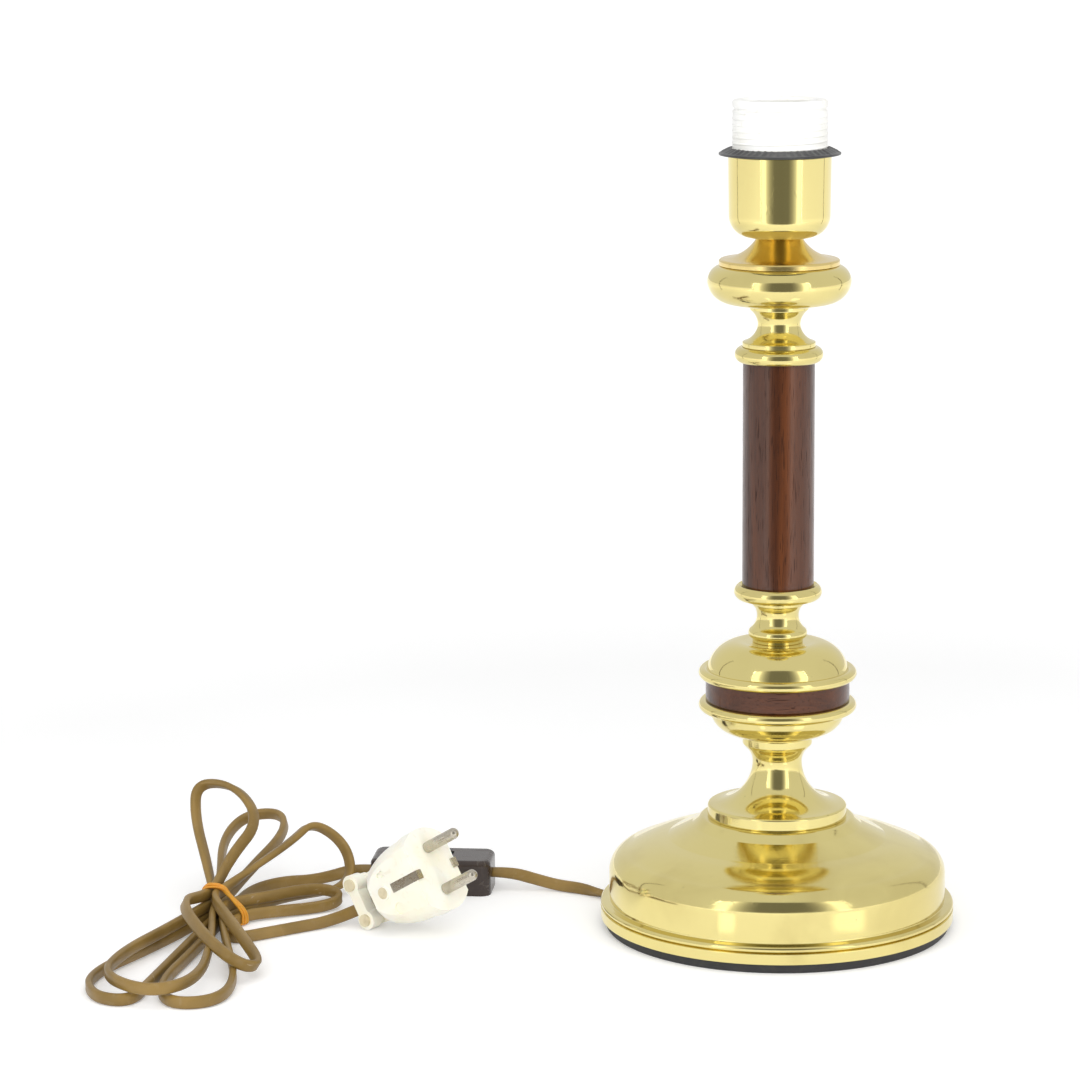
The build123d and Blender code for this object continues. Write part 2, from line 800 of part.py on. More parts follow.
def switch_cover():
    """The upper half: a rounded top with the rocker's window, lugs and posts."""
    body = Pos(0, 0, switch_split) * extrude(case_outline(0), switch_h - switch_split)
    body = fillet(body.faces().sort_by(Axis.Z)[-1].edges(), switch_edge_r)
    roof = switch_h - switch_wall
    body -= Pos(0, 0, switch_split) * extrude(case_outline(switch_wall), roof - switch_split)
    reach = rocker_length / 2 + rocker_play
    window = rocker_w / 2 + rocker_play
    for side in (1, -1):
        low, high = sorted((side * window, side * (window + pivot_lug)))
        body += block((-pivot_lug, low, pivot_z - pivot_lug), (pivot_lug, high, roof))
        post = case_screw_r + boss_wall
        body += bar((side * case_screw_x, 0, switch_split), along_z, post, roof - switch_split)
        body -= bar((side * case_screw_x, 0, switch_split), along_z, case_screw_r + thread_play,
                    case_screw_length + case_screw_head_h + 2 * skin_gap - switch_split)
    body -= block((-reach, -window, switch_split), (reach, window, switch_h + overrun))
    hinge = rocker_w / 2 + pivot_reach + pivot_play
    return body - bar((0, -hinge, pivot_z), along_y, pivot_r + pivot_play, 2 * hinge) - cord_holes()


def switch_rocker():
    """A rocker with a hollowed top and two pivot pins, tilted to its first stop."""
    top, foot = rocker_length / 2, rocker_foot_length / 2
    side = section((-foot, -rocker_depth), (foot, -rocker_depth), (top, rocker_rise, rocker_end_share),
                   (-top, rocker_rise, -rocker_top_share))
    body = Plane.XZ.offset(-rocker_w / 2) * extrude(side, rocker_w)
    hinge = rocker_w / 2 + pivot_reach
    body += bar((0, -hinge, 0), along_y, pivot_r, 2 * hinge)
    return Pos(0, 0, pivot_z) * Rot(0, -rocker_throw, 0) * body


def switch_strip(side):
    """One brass contact strip on the floor of the case."""
    low, high = sorted((side * strip_gap / 2, side * (strip_gap / 2 + strip_w)))
    return block((-strip_length / 2, low, switch_wall), (strip_length / 2, high, switch_wall + strip_h))


def case_screw(side):
    x = side * case_screw_x
    head_top = skin_gap + case_screw_head_h
    head = bar((x, 0, skin_gap), along_z, case_screw_head_r, case_screw_head_h)
    return head + bar((x, 0, head_top), along_z, case_screw_r, case_screw_length)


def plug_frame():
    """Its origin is the middle of the pin face, X runs along the pins and Z to the upper pin."""
    return Plane(origin=(plug_x, plug_y, plug_z), x_dir=heading(plug_turn, plug_pitch),
                 z_dir=heading(plug_turn, plug_pitch + square_turn))


def with_flats(outline, flat):
    """An outline turned about X and cut by two flats."""
    reach = plug_length + overrun
    sides = block((-reach, -flat, -plug_face_r), (reach, flat, plug_face_r))
    return revolve(Plane.XZ * outline, Axis.X) & sides


def plug_body():
    """The round body: a collar round the face, a small step and a drawn-in side."""
    step_r = plug_face_r - plug_step
    outline = section((0, 0), (0, plug_face_r), (-plug_collar, plug_face_r),
                      (-plug_collar - plug_step, step_r), (-plug_length, plug_rear_r, plug_body_share),
                      (-plug_length, 0))
    return with_flats(outline, plug_flat)


def plug_hollow():
    """The space for the wires behind the face, open at the rear."""
    front_r = plug_face_r - plug_step - plug_wall
    rear_r = plug_rear_r - plug_wall
    rear = -plug_length - overrun
    outline = section((-pin_root, 0), (-pin_root, front_r), (-plug_length, rear_r, plug_body_share),
                      (rear, rear_r), (rear, 0))
    return with_flats(outline, plug_flat - plug_wall)


def plug_half(side):
    """Half of the plug's moulded body, hollow behind the pins and open at the rear."""
    near, far = sorted((0, side * plug_face_r))
    whole = plug_body() - plug_hollow()
    half = whole & block((-plug_length, near, -plug_face_r), (0, far, plug_face_r))
    low, high = sorted((0, side * (plug_flat - plug_wall / 2)))
    half += bar((-plug_boss_x, low, 0), along_y, plug_boss_r, high - low)
    for pin in (1, -1):
        half -= bar((-plug_length, 0, pin * pin_pitch / 2), along_x, pin_root_r + pin_play, 2 * plug_length)
    low, high = sorted((side * (plug_flat - earth_h), side * (plug_flat + overrun)))
    start = earth_h - earth_length
    slot_w = earth_w / 2 + thread_play
    return half - block((start - thread_play, low, -slot_w), (overrun, high, slot_w))


def plug_near():
    """The cover half: a screw boss, a keyhole slot and a round dimple on its flat."""
    half = plug_half(-1)
    half += bar((-plug_boss_x, -plug_flat - plug_boss_rise, 0), along_y, plug_boss_r, plug_wall)
    half -= bar((-key_x, -plug_flat - overrun, key_z), along_y, key_r, overrun + key_depth)
    half -= block((-key_x - key_length, -plug_flat - overrun, key_z - key_w / 2),
                  (-key_x, -plug_flat + key_depth, key_z + key_w / 2))
    half -= bar((-dimple_x, -plug_flat - overrun, -dimple_z), along_y, dimple_r, overrun + key_depth)
    top = -plug_flat - plug_boss_rise
    half -= bar((-plug_boss_x, top, 0), along_y, plug_screw_head_r + thread_play, plug_screw_head_h)
    return half - bar((-plug_boss_x, top, 0), along_y, plug_screw_r + thread_play, plug_flat + overrun)


def plug_far():
    """The other half; its tail holds the cord and the posts of the clamp."""
    half = plug_half(1)
    root_x = tail_root - plug_length
    tail = section((root_x, -tail_low), (-plug_length, -tail_low), (-clamp_x, tail_root / 2 - tail_low),
                   (-tail_end, -tail_end_low), (-tail_end, tail_end_high), (-clamp_x, tail_high),
                   (-plug_length, tail_high), (root_x, tail_high))
    half += Plane.XZ * extrude(tail, -tail_h)
    groove = cord_r + skin_gap
    for place in clamp_places():
        half += bar((-clamp_x, -groove, place), along_y, clamp_post_r, groove + tail_h / 2)
    half -= bar((-tail_end - overrun, 0, 0), along_x, groove, tail_end)
    half -= block((-cord_end, 0, -wire_pocket_w / 2), (root_x, wire_pocket_h, wire_pocket_w / 2))
    for place in clamp_places():
        start = (-clamp_x, -groove, place)
        half -= bar(start, along_y, clamp_screw_r + thread_play, groove + tail_h - sheet)
    reach = plug_screw_length - plug_flat - plug_boss_rise + skin_gap
    return half - bar((-plug_boss_x, 0, 0), along_y, plug_screw_r + thread_play, reach)


def plug_pin(side):
    """A pin with a rounded tip; its slimmer root goes through the face into the hollow."""
    rear = -pin_root - pin_terminal
    tip = pin_length - pin_r
    outline = section((rear, 0), (pin_length, 0), (tip, pin_r, quarter_share), (skin_gap, pin_r),
                      (skin_gap, pin_root_r), (rear, pin_root_r))
    return Pos(0, 0, side * pin_pitch / 2) * revolve(Plane.XZ * outline, Axis.X)


def earth_strip(side):
    """A strip on the flat, bent over the pin face."""
    low, high = sorted((side * (plug_flat - earth_h), side * plug_flat))
    strip = block((earth_h - earth_length, low, -earth_w / 2), (earth_h, high, earth_w / 2))
    low, high = sorted((side * (plug_flat - earth_lip), side * plug_flat))
    return strip + block((0, low, -earth_w / 2), (earth_h, high, earth_w / 2))


def plug_screw():
    top = -plug_flat - plug_boss_rise
    head = bar((-plug_boss_x, top, 0), along_y, plug_screw_head_r, plug_screw_head_h)
    return head + bar((-plug_boss_x, top + plug_screw_head_h, 0), along_y, plug_screw_r,
                      plug_screw_length - plug_screw_head_h)


def clamp_places():
    """Where the clamp's two screws stand along the plug's Z."""
    return [clamp_z + clamp_pitch / 2, clamp_z - clamp_pitch / 2]


def cord_clamp():
    """A bone-shaped bridge over the cord."""
    near = -cord_r - skin_gap - clamp_thick
    low, high = min(clamp_places()), max(clamp_places())
    body = block((-clamp_x - clamp_web / 2, near, low), (-clamp_x + clamp_web / 2, near + clamp_thick, high))
    for place in clamp_places():
        body += bar((-clamp_x, near, place), along_y, clamp_lobe_r, clamp_thick)
    for place in clamp_places():
        body -= bar((-clamp_x, near, place), along_y, clamp_screw_r + thread_play, clamp_thick)
    return body


def clamp_screw(place):
    near = -cord_r - skin_gap - clamp_thick
    head = bar((-clamp_x, near - clamp_screw_head_h, place), along_y, clamp_screw_head_r, clamp_screw_head_h)
    return head + bar((-clamp_x, near, place), along_y, clamp_screw_r, clamp_screw_length)


def plug_wire(side):
    """One insulated core from the cord's end to its pin."""
    return tube("wire", [(x, y, side * z) for x, y, z in wire_route], wire_r)


def hank_frame():
    """Its origin is on the floor under the tie, and X runs along the strands."""
    return Plane(origin=(waist_x, waist_y, 0), x_dir=heading(waist_turn), z_dir=along_z)


def strand_place(number, along):
    """A place on one strand in the tie, at a distance along it."""
    column, row = lane_shares[number]
    return hank_frame().from_local_coords(Vector(along, -column * lane_pitch, lane_low_z + row * lane_rise))


def hank_ends():
    """Both ends of the hank, each with the straight step on from it."""
    reach = waist_length / 2 + waist_lead
    onward = heading(waist_turn) * lead_run
    return [(strand_place(0, reach), onward), (strand_place(len(lane_shares) - 1, -reach), onward * -1)]


def loop_side(root, middle, tip, side, stand_shares):
    """The places of one side of a loop, from the tie out to its far end."""
    points = []
    for along, across in zip(loop_reach_shares, stand_shares):
        points.append(middle + (root - middle) * (1 - along) + (tip - middle) * along + side * across)
    return points


def loop_points(number, before, after):
    """The places of one loop, between the strand that goes in and the one that comes out."""
    middle = (before + after) * 0.5
    tip = Vector(*loop_tips[number])
    start_shares = (loop_start_shares[number], *loop_stand_shares[1:])
    outward = loop_side(before, middle, tip, Vector(*loop_out_sides[number]), start_shares)
    back = loop_side(after, middle, tip, Vector(*loop_back_sides[number]), loop_stand_shares)
    return outward + back[::-1]


def hank_points():
    """The whole hank in the order of the cord: every strand, then the loop to the next."""
    half = waist_length / 2
    points = [hank_ends()[0][0]]
    for number in range(len(lane_shares)):
        way = -1 if number % 2 == 0 else 1
        if number > 0:
            points.append(strand_place(number, -way * half))
        if number < len(loop_tips):
            leaving = strand_place(number, way * half)
            points.append(leaving)
            points += loop_points(number, leaving, strand_place(number + 1, way * half))
    return points + [hank_ends()[1][0]]


def least_gap(line):
    """The smallest free distance between stretches of one tube, on sampled points."""
    count = int(line.length / sample_step)
    places = [line @ (number / count) for number in range(count + 1)]
    skip = int(math.pi * 2 * cord_r / sample_step) + 1
    nearest = line.length
    for number, place in enumerate(places):
        for other in places[number + skip:]:
            nearest = min(nearest, (place - other).length)
    return nearest - 2 * cord_r


def hank():
    """One unbroken tube through the tie, back and forth."""
    points = hank_points()
    print("hank least gap", round(least_gap(tube_path(points)[0]), 2))
    return tube("hank", points, cord_r)


def hank_tie():
    """A rubber band wound round the strands, as closed turns."""
    corners = []
    for column, row in tie_corner_shares:
        corners.append((-column * lane_pitch, lane_low_z + row * lane_rise))
    bundle = offset(make_face(Polyline(*corners, close=True)), amount=cord_r + tie_play + tie_r)
    turns = []
    for number in range(tie_turns):
        along = (number - (tie_turns - 1) / 2) * tie_pitch
        frame = Plane(origin=(along, 0, 0), x_dir=along_y, z_dir=along_x)
        path = (frame * bundle).wire()
        turns.append(sweep(Plane(origin=path @ 0, z_dir=path % 0) * Circle(tie_r), path=path))
    return hank_frame() * Compound(children=turns)


def export(name, solid):
    solid.label = name
    export_step(solid, "parts/" + name + ".step")
    print(name, round(solid.volume, 1), "valid", solid.is_valid)


for piece in (base_plate, cord_grommet, base_shell, base_weight, bottom_washer, foot_spool, lower_bowl,
              wood_ring, upper_dome, lower_neck, lower_collar, wood_column, upper_collar, upper_neck,
              knob, cone_cap, holder_cup, holder_base, holder_core, screw_shell, centre_contact,
              holder_sleeve, shade_ring, threaded_tube, inner_lead, lamp_lead, switch_lead, hank,
              hank_tie, plug_lead):
    export(piece.__name__, piece())

export("bottom_nut", hex_nut(nut_z, nut_h))
export("cup_nut", hex_nut(cup_z + cup_wall, cup_nut_h))
for angle, letter in zip(around(2), "ab"):
    export("terminal_block_" + letter, Rot(0, 0, angle) * terminal_block())
    export("terminal_screw_" + letter, Rot(0, 0, angle) * terminal_screw())

in_switch = switch_frame().location
for piece in (switch_base, switch_cover, switch_rocker):
    export(piece.__name__, in_switch * piece())
for side, letter in zip((1, -1), "ab"):
    export("switch_strip_" + letter, in_switch * switch_strip(side))
    export("case_screw_" + letter, in_switch * case_screw(side))

in_plug = plug_frame().location
for piece in (plug_near, plug_far, plug_screw, cord_clamp):
    export(piece.__name__, in_plug * piece())
for side, letter in zip((1, -1), "ab"):
    export("plug_pin_" + letter, in_plug * plug_pin(side))
    export("earth_strip_" + letter, in_plug * earth_strip(side))
    export("plug_wire_" + letter, in_plug * plug_wire(side))
for place, letter in zip(clamp_places(), "ab"):
    export("clamp_screw_" + letter, in_plug * clamp_screw(place))
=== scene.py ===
"""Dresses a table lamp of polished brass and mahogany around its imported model."""
import logging
import math
from dataclasses import dataclass, field
from enum import Enum
from functools import cached_property
from typing import Iterable, Mapping, Optional, Sequence, Union

import bmesh
import bpy
from mathutils import Matrix, Vector


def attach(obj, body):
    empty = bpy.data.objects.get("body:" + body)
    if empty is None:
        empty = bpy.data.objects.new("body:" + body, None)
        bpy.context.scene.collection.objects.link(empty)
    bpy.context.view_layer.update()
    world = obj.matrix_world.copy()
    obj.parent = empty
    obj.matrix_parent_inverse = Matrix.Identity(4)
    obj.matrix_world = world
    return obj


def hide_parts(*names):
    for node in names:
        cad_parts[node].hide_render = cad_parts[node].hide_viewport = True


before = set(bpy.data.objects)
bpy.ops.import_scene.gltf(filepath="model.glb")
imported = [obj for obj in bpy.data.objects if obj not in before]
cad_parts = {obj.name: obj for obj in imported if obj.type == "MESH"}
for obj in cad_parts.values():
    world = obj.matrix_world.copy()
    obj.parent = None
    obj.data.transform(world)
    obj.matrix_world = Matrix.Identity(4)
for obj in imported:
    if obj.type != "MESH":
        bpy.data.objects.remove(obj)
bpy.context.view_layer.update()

LOG = logging.getLogger("table_lamp")
MM = 0.001
Step = tuple[float, ...]
Point = tuple[float, float, float]
Tint = tuple[float, float, float]


class Body(Enum):
    """The bodies that new pieces ride on."""

    LAMP = "lamp"
    RING = "ring"


class Grain(Enum):
    """Which way the wood's grain runs, as the stretch of its pattern."""

    UPRIGHT = (1.0, 1.0, 0.05)
    ACROSS = (0.05, 1.0, 1.0)


# Shaders


class Value:
    """A number that changes over a surface, worked on with plain operators."""

    def __init__(self, graph: "Graph", socket: bpy.types.NodeSocket) -> None:
        """Keeps the graph and the socket that the number comes from."""
        self.graph = graph
        self.socket = socket

    def __add__(self, other: "Number") -> "Value":
        """Adds a number or another value."""
        return self.graph.maths("ADD", self, other)

    def __sub__(self, other: "Number") -> "Value":
        """Takes a number or another value away."""
        return self.graph.maths("SUBTRACT", self, other)

    def __rsub__(self, other: "Number") -> "Value":
        """Takes this value away from a number."""
        return self.graph.maths("SUBTRACT", other, self)

    def __mul__(self, other: "Number") -> "Value":
        """Multiplies by a number or another value."""
        return self.graph.maths("MULTIPLY", self, other)

    def __truediv__(self, other: "Number") -> "Value":
        """Divides by a number or another value."""
        return self.graph.maths("DIVIDE", self, other)

    def __pow__(self, other: "Number") -> "Value":
        """Raises to a power."""
        return self.graph.maths("POWER", self, other)

    def above(self, low: float, high: float) -> "Value":
        """Gives 0 below low, 1 above high, and a smooth rise between."""
        node = self.graph.add("ShaderNodeMapRange", {"interpolation_type": "SMOOTHSTEP"},
                              {"Value": self, "From Min": low, "From Max": high})
        return Value(self.graph, node.outputs["Result"])


Number = Union[Value, float]
Paint = Union[Tint, bpy.types.NodeSocket]


class Graph:
    """The nodes of one material or of the studio's surround."""

    def __init__(self, owner: Union[bpy.types.Material, bpy.types.World]) -> None:
        """Empties the nodes.

        Args:
            owner: the material or world whose nodes are built.
        """
        owner.use_nodes = True
        self.tree = owner.node_tree
        self.tree.nodes.clear()

    @cached_property
    def place(self) -> bpy.types.NodeSocket:
        """The object's own coordinates."""
        return self.add("ShaderNodeTexCoord").outputs["Object"]

    def add(self, kind: str, settings: Optional[Mapping[str, object]] = None,
            values: Optional[Mapping[Union[str, int], object]] = None) -> bpy.types.Node:
        """Adds one node.

        Args:
            kind: the node's type.
            settings: the node's own settings, set first; "stops" holds a ramp's stops.
            values: what each input socket is set to or linked from.

        Returns:
            The node.
        """
        node = self.tree.nodes.new(kind)
        for name, setting in (settings or {}).items():
            if name == "stops":
                ramp = node.color_ramp
                for number, (at, tint) in enumerate(setting):
                    stop = ramp.elements[number] if number < 2 else ramp.elements.new(at)
                    stop.position = at
                    stop.color = (*tint, 1.0)
            else:
                setattr(node, name, setting)
        for name, value in (values or {}).items():
            source = value.socket if isinstance(value, Value) else value
            if isinstance(source, bpy.types.NodeSocket):
                self.tree.links.new(source, node.inputs[name])
            elif isinstance(source, tuple) and len(source) == 3 and node.inputs[name].type == "RGBA":
                node.inputs[name].default_value = (*source, 1.0)
            else:
                node.inputs[name].default_value = source
        return node

    def maths(self, operation: str, first: Number, second: Number) -> Value:
        """Works out one sum on values or numbers."""
        node = self.add("ShaderNodeMath", {"operation": operation}, {0: first, 1: second})
        return Value(self, node.outputs[0])

    def stretched(self, stretch: Point) -> bpy.types.NodeSocket:
        """Gives the object's coordinates, scaled along each axis."""
        return self.add("ShaderNodeMapping", values={"Vector": self.place, "Scale": stretch}).outputs[0]

    def noise(self, scale: float, stretch: Point = (1.0, 1.0, 1.0), detail: float = 3.0,
              warp: float = 0.0) -> Value:
        """Adds soft random clouds.

        Args:
            scale: how many clouds fit in a metre.
            stretch: the scale along each axis.
            detail: how many finer layers lie on the clouds.
            warp: how far the clouds are pulled about.

        Returns:
            A value round one half.
        """
        node = self.add("ShaderNodeTexNoise", values={"Vector": self.stretched(stretch), "Scale": scale,
                                                      "Detail": detail, "Distortion": warp})
        return Value(self, node.outputs[0])

    def axes(self) -> tuple[Value, Value, Value]:
        """Gives the object's three coordinates as values."""
        node = self.add("ShaderNodeSeparateXYZ", values={"Vector": self.place})
        return Value(self, node.outputs[0]), Value(self, node.outputs[1]), Value(self, node.outputs[2])

    def turning_lines(self, scale: float) -> Value:
        """Adds fine lines that run round the lamp's axis.

        Args:
            scale: how many lines fit in a metre.

        Returns:
            A value round one half.
        """
        x, y, z = self.axes()
        radius = (x * x + y * y) ** 0.5
        angle = self.maths("ARCTAN2", y, x)
        turn_scale = 1.2
        vector = self.add("ShaderNodeCombineXYZ",
                          values={0: radius * scale, 1: angle * turn_scale, 2: z * scale})
        node = self.add("ShaderNodeTexNoise",
                        values={"Vector": vector.outputs[0], "Scale": 1.0, "Detail": 2.0})
        return Value(self, node.outputs[0])

    def blend(self, share: Number, first: Paint, second: Paint) -> bpy.types.NodeSocket:
        """Mixes two colours by a share."""
        node = self.add("ShaderNodeMix", {"data_type": "RGBA"}, {0: share, 6: first, 7: second})
        return node.outputs[2]

    def bump(self, height: Value, depth: float, under: Optional[bpy.types.NodeSocket] = None,
             strength: float = 1.0) -> bpy.types.NodeSocket:
        """Raises the surface by a value.

        Args:
            height: the value, where 1 is full height.
            depth: the full height in metres.
            under: a bump that this one lies on.
            strength: how much of the bump shows.

        Returns:
            The normal socket.
        """
        values: dict[Union[str, int], object] = {"Height": height, "Distance": depth, "Strength": strength}
        if under is not None:
            values["Normal"] = under
        return self.add("ShaderNodeBump", values=values).outputs["Normal"]

    def finish(self, **sockets: object) -> None:
        """Ends the nodes in one shader.

        Args:
            sockets: what each of its sockets is set to or linked from, with underscores for spaces.
        """
        values = {name.replace("_", " "): value for name, value in sockets.items()}
        shader = self.add("ShaderNodeBsdfPrincipled", values=values)
        self.add("ShaderNodeOutputMaterial", values={"Surface": shader.outputs["BSDF"]})


# Finishes


@dataclass(frozen=True)
class Finish:
    """A finish that pieces are given.

    Attributes:
        name: the material's name.
        slot: the record's slot that it stands for.
    """

    name: str
    slot: str

    def paint(self, graph: Graph) -> None:
        """Builds the finish's nodes; each finish has its own."""
        raise NotImplementedError

    def material(self) -> bpy.types.Material:
        """Gives the finish's material, made once."""
        found = bpy.data.materials.get(self.name)
        if found is None:
            found = bpy.data.materials.new(self.name)
            self.paint(Graph(found))
        return found

    def put_on(self, piece: bpy.types.Object) -> None:
        """Gives a piece or a CAD node this finish alone."""
        piece.data.materials.clear()
        piece.data.materials.append(self.material())


@dataclass(frozen=True)
class PolishedBrass(Finish):
    """Yellow brass, polished on a lathe and lightly tarnished.

    Attributes:
        tint: the metal's own colour.
        tarnish: the colour of its dull clouds.
        wear: how many specks and clouds it has, from 0 to 1.
        gloss: its smallest roughness.
    """

    tint: Tint = (0.79, 0.68, 0.285)
    tarnish: Tint = (0.60, 0.49, 0.19)
    wear: float = 0.30
    gloss: float = 0.085

    def paint(self, graph: Graph) -> None:
        """Builds clouds of tarnish, specks, fine turning lines and loose scratches."""
        clouds = graph.noise(24.0, detail=4.0, warp=0.6).above(0.42, 0.72)
        specks = graph.noise(520.0, detail=2.0).above(0.72, 0.78) * graph.noise(60.0).above(0.5, 0.7)
        smears = graph.noise(70.0, (1.0, 0.35, 1.0), detail=5.0, warp=1.2).above(0.5, 0.8)
        lines = graph.turning_lines(2600.0)
        scratches = graph.noise(380.0, (1.0, 0.08, 0.6), detail=1.0, warp=0.3).above(0.66, 0.74)
        tint = graph.blend(clouds * self.wear, self.tint, self.tarnish)
        tint = graph.blend(specks * 0.75, tint, (0.10, 0.07, 0.03))
        normal = graph.bump(lines, 0.000006)
        normal = graph.bump(scratches, 0.000010, normal)
        rough = clouds * (0.10 * self.wear) + smears * 0.07 + specks * 0.25 + lines * 0.05
        rough = rough + (self.gloss - 0.02)
        graph.finish(Base_Color=tint, Metallic=1.0, Roughness=rough, Normal=normal, Anisotropic=0.45,
                     Anisotropic_Rotation=0.25)


@dataclass(frozen=True)
class PlainMetal(Finish):
    """A plated, painted or cast metal.

    Attributes:
        tint: its colour.
        stain: the colour of its marks.
        rough: its roughness.
        metallic: 1 for bare metal, 0 for paint.
        grain: how many grains fit in a metre.
        relief: how high the grains stand, in metres.
    """

    tint: Tint
    stain: Tint
    rough: float = 0.3
    metallic: float = 1.0
    grain: float = 900.0
    relief: float = 0.00002

    def paint(self, graph: Graph) -> None:
        """Builds stains, grain and a roughness that follows them."""
        stains = graph.noise(140.0, detail=4.0, warp=0.8).above(0.45, 0.75)
        grain = graph.noise(self.grain, detail=2.0)
        scratches = graph.noise(700.0, (0.08, 1.0, 1.0), detail=1.0).above(0.62, 0.72)
        tint = graph.blend(stains * 0.6, self.tint, self.stain)
        rough = stains * 0.18 + grain * 0.08 + scratches * 0.1 + self.rough
        normal = graph.bump(grain + scratches * 0.5, self.relief)
        graph.finish(Base_Color=tint, Metallic=self.metallic, Roughness=rough, Normal=normal)


@dataclass(frozen=True)
class Mahogany(Finish):
    """Dark stained mahogany under a thin lacquer.

    Attributes:
        grain: which way its grain runs.
    """

    grain: Grain = Grain.UPRIGHT

    def paint(self, graph: Graph) -> None:
        """Builds broad bands, fine fibres and dark open pores."""
        stretch = self.grain.value
        bands = graph.noise(90.0, stretch, detail=4.0, warp=0.8)
        fibres = graph.noise(900.0, stretch, detail=3.0)
        pores = graph.noise(2300.0, stretch, detail=1.0, warp=0.2).above(0.60, 0.70)
        tint = graph.blend(bands.above(0.35, 0.68), (0.048, 0.0125, 0.0030), (0.118, 0.033, 0.0080))
        tint = graph.blend(fibres.above(0.4, 0.7) * 0.45, tint, (0.072, 0.020, 0.0055))
        tint = graph.blend(pores * 0.55, tint, (0.014, 0.005, 0.003))
        ripple = graph.noise(60.0, stretch, detail=2.0)
        normal = graph.bump(fibres - pores, 0.00006)
        normal = graph.bump(ripple, 0.0004, normal, 0.4)
        graph.finish(Base_Color=tint, Roughness=fibres * 0.1 + pores * 0.2 + 0.30, Normal=normal,
                     Coat_Weight=0.72 - pores * 0.45, Coat_Roughness=0.08, Specular_IOR_Level=0.1)


@dataclass(frozen=True)
class Moulded(Finish):
    """A moulded plastic or rubber.

    Attributes:
        tint: its colour.
        faded: its colour where it has aged.
        grime: the colour of its dirt.
        rough: its roughness.
        relief: how high its texture stands, in metres.
        dirt: how much grime it holds, from 0 to 1.
        milky: how much light enters it, from 0 to 1.
    """

    tint: Tint
    faded: Tint
    grime: Tint
    rough: float = 0.35
    relief: float = 0.00002
    dirt: float = 0.3
    milky: float = 0.0

    def paint(self, graph: Graph) -> None:
        """Builds uneven ageing, specks of dirt, scuffs and a fine texture."""
        aged = graph.noise(55.0, detail=3.0, warp=0.5).above(0.35, 0.7)
        dirt = graph.noise(210.0, detail=5.0, warp=1.0).above(0.58, 0.74)
        scuffs = graph.noise(420.0, (0.10, 1.0, 0.7), detail=2.0, warp=0.4).above(0.62, 0.70)
        texture = graph.noise(2600.0, detail=2.0)
        tint = graph.blend(aged, self.tint, self.faded)
        tint = graph.blend(dirt * self.dirt, tint, self.grime)
        rough = texture * 0.1 + scuffs * 0.18 + dirt * 0.12 + (self.rough - 0.05)
        normal = graph.bump(texture + scuffs * 0.6, self.relief)
        graph.finish(Base_Color=tint, Roughness=rough, Normal=normal, Subsurface_Weight=self.milky,
                     Subsurface_Scale=0.002)


@dataclass(frozen=True)
class CordPlastic(Finish):
    """The cord's flexible jacket, bronze to golden brown, a little dusty."""

    def paint(self, graph: Graph) -> None:
        """Builds drawn streaks, dust and pale scuffs."""
        shade = graph.noise(42.0, detail=3.0, warp=0.6).above(0.3, 0.7)
        dust = graph.noise(260.0, detail=4.0, warp=0.8).above(0.55, 0.75)
        scuffs = graph.noise(150.0, (1.0, 1.0, 2.2), detail=3.0, warp=1.0).above(0.70, 0.78)
        texture = graph.noise(1800.0, detail=2.0)
        tint = graph.blend(shade, (0.205, 0.125, 0.027), (0.280, 0.175, 0.044))
        tint = graph.blend(dust * 0.20, tint, (0.34, 0.27, 0.17))
        tint = graph.blend(scuffs * 0.5, tint, (0.50, 0.42, 0.30))
        rough = dust * 0.18 + texture * 0.1 + scuffs * 0.2 + 0.36
        graph.finish(Base_Color=tint, Roughness=rough, Normal=graph.bump(texture, 0.00003))


BRASS = PolishedBrass("brass_polished", "polished_brass")
BRASS_FOOT = PolishedBrass("brass_foot", "polished_brass", wear=0.45, gloss=0.09)
BRASS_PLAIN = PlainMetal("brass_contacts", "contact_brass", (0.78, 0.58, 0.24), (0.42, 0.28, 0.12), 0.28)
NICKEL = PlainMetal("nickel_plate", "nickel", (0.54, 0.50, 0.42), (0.30, 0.26, 0.20), 0.22)
BLACK_PAINT = PlainMetal("black_paint", "black_steel", (0.022, 0.022, 0.024), (0.06, 0.055, 0.05), 0.5,
                         0.0)
CAST_IRON = PlainMetal("cast_iron", "iron", (0.09, 0.09, 0.095), (0.16, 0.09, 0.05), 0.6, 0.6, 500.0,
                       0.0002)
ZINC = PlainMetal("zinc_plate", "zinc_steel", (0.60, 0.60, 0.58), (0.35, 0.33, 0.30), 0.34)
DULL = PlainMetal("dull_screw", "zinc_steel", (0.74, 0.66, 0.46), (0.45, 0.33, 0.16), 0.50, 0.2)
BRASS_CONE = PolishedBrass("brass_cone", "polished_brass", (0.80, 0.62, 0.25), gloss=0.20)
WOOD = Mahogany("mahogany_upright", "mahogany")
WOOD_RING = Mahogany("mahogany_across", "mahogany", Grain.ACROSS)
WHITE = Moulded("white_sleeve", "white_plastic", (0.95, 0.95, 0.93), (0.93, 0.92, 0.87), (0.62, 0.58, 0.46),
                0.36, dirt=0.25)
PORCELAIN = Moulded("porcelain", "porcelain", (0.84, 0.82, 0.76), (0.78, 0.75, 0.68), (0.4, 0.35, 0.28), 0.16)
BLACK_RING = Moulded("black_ring", "black_plastic", (0.030, 0.030, 0.032), (0.055, 0.055, 0.056),
                     (0.16, 0.15, 0.14), 0.30, 0.00004)
GROMMET = Moulded("grommet", "grommet_plastic", (0.05, 0.05, 0.05), (0.08, 0.075, 0.07),
                  (0.2, 0.18, 0.15), 0.5)
CORD = CordPlastic("cord_jacket", "cord_plastic")
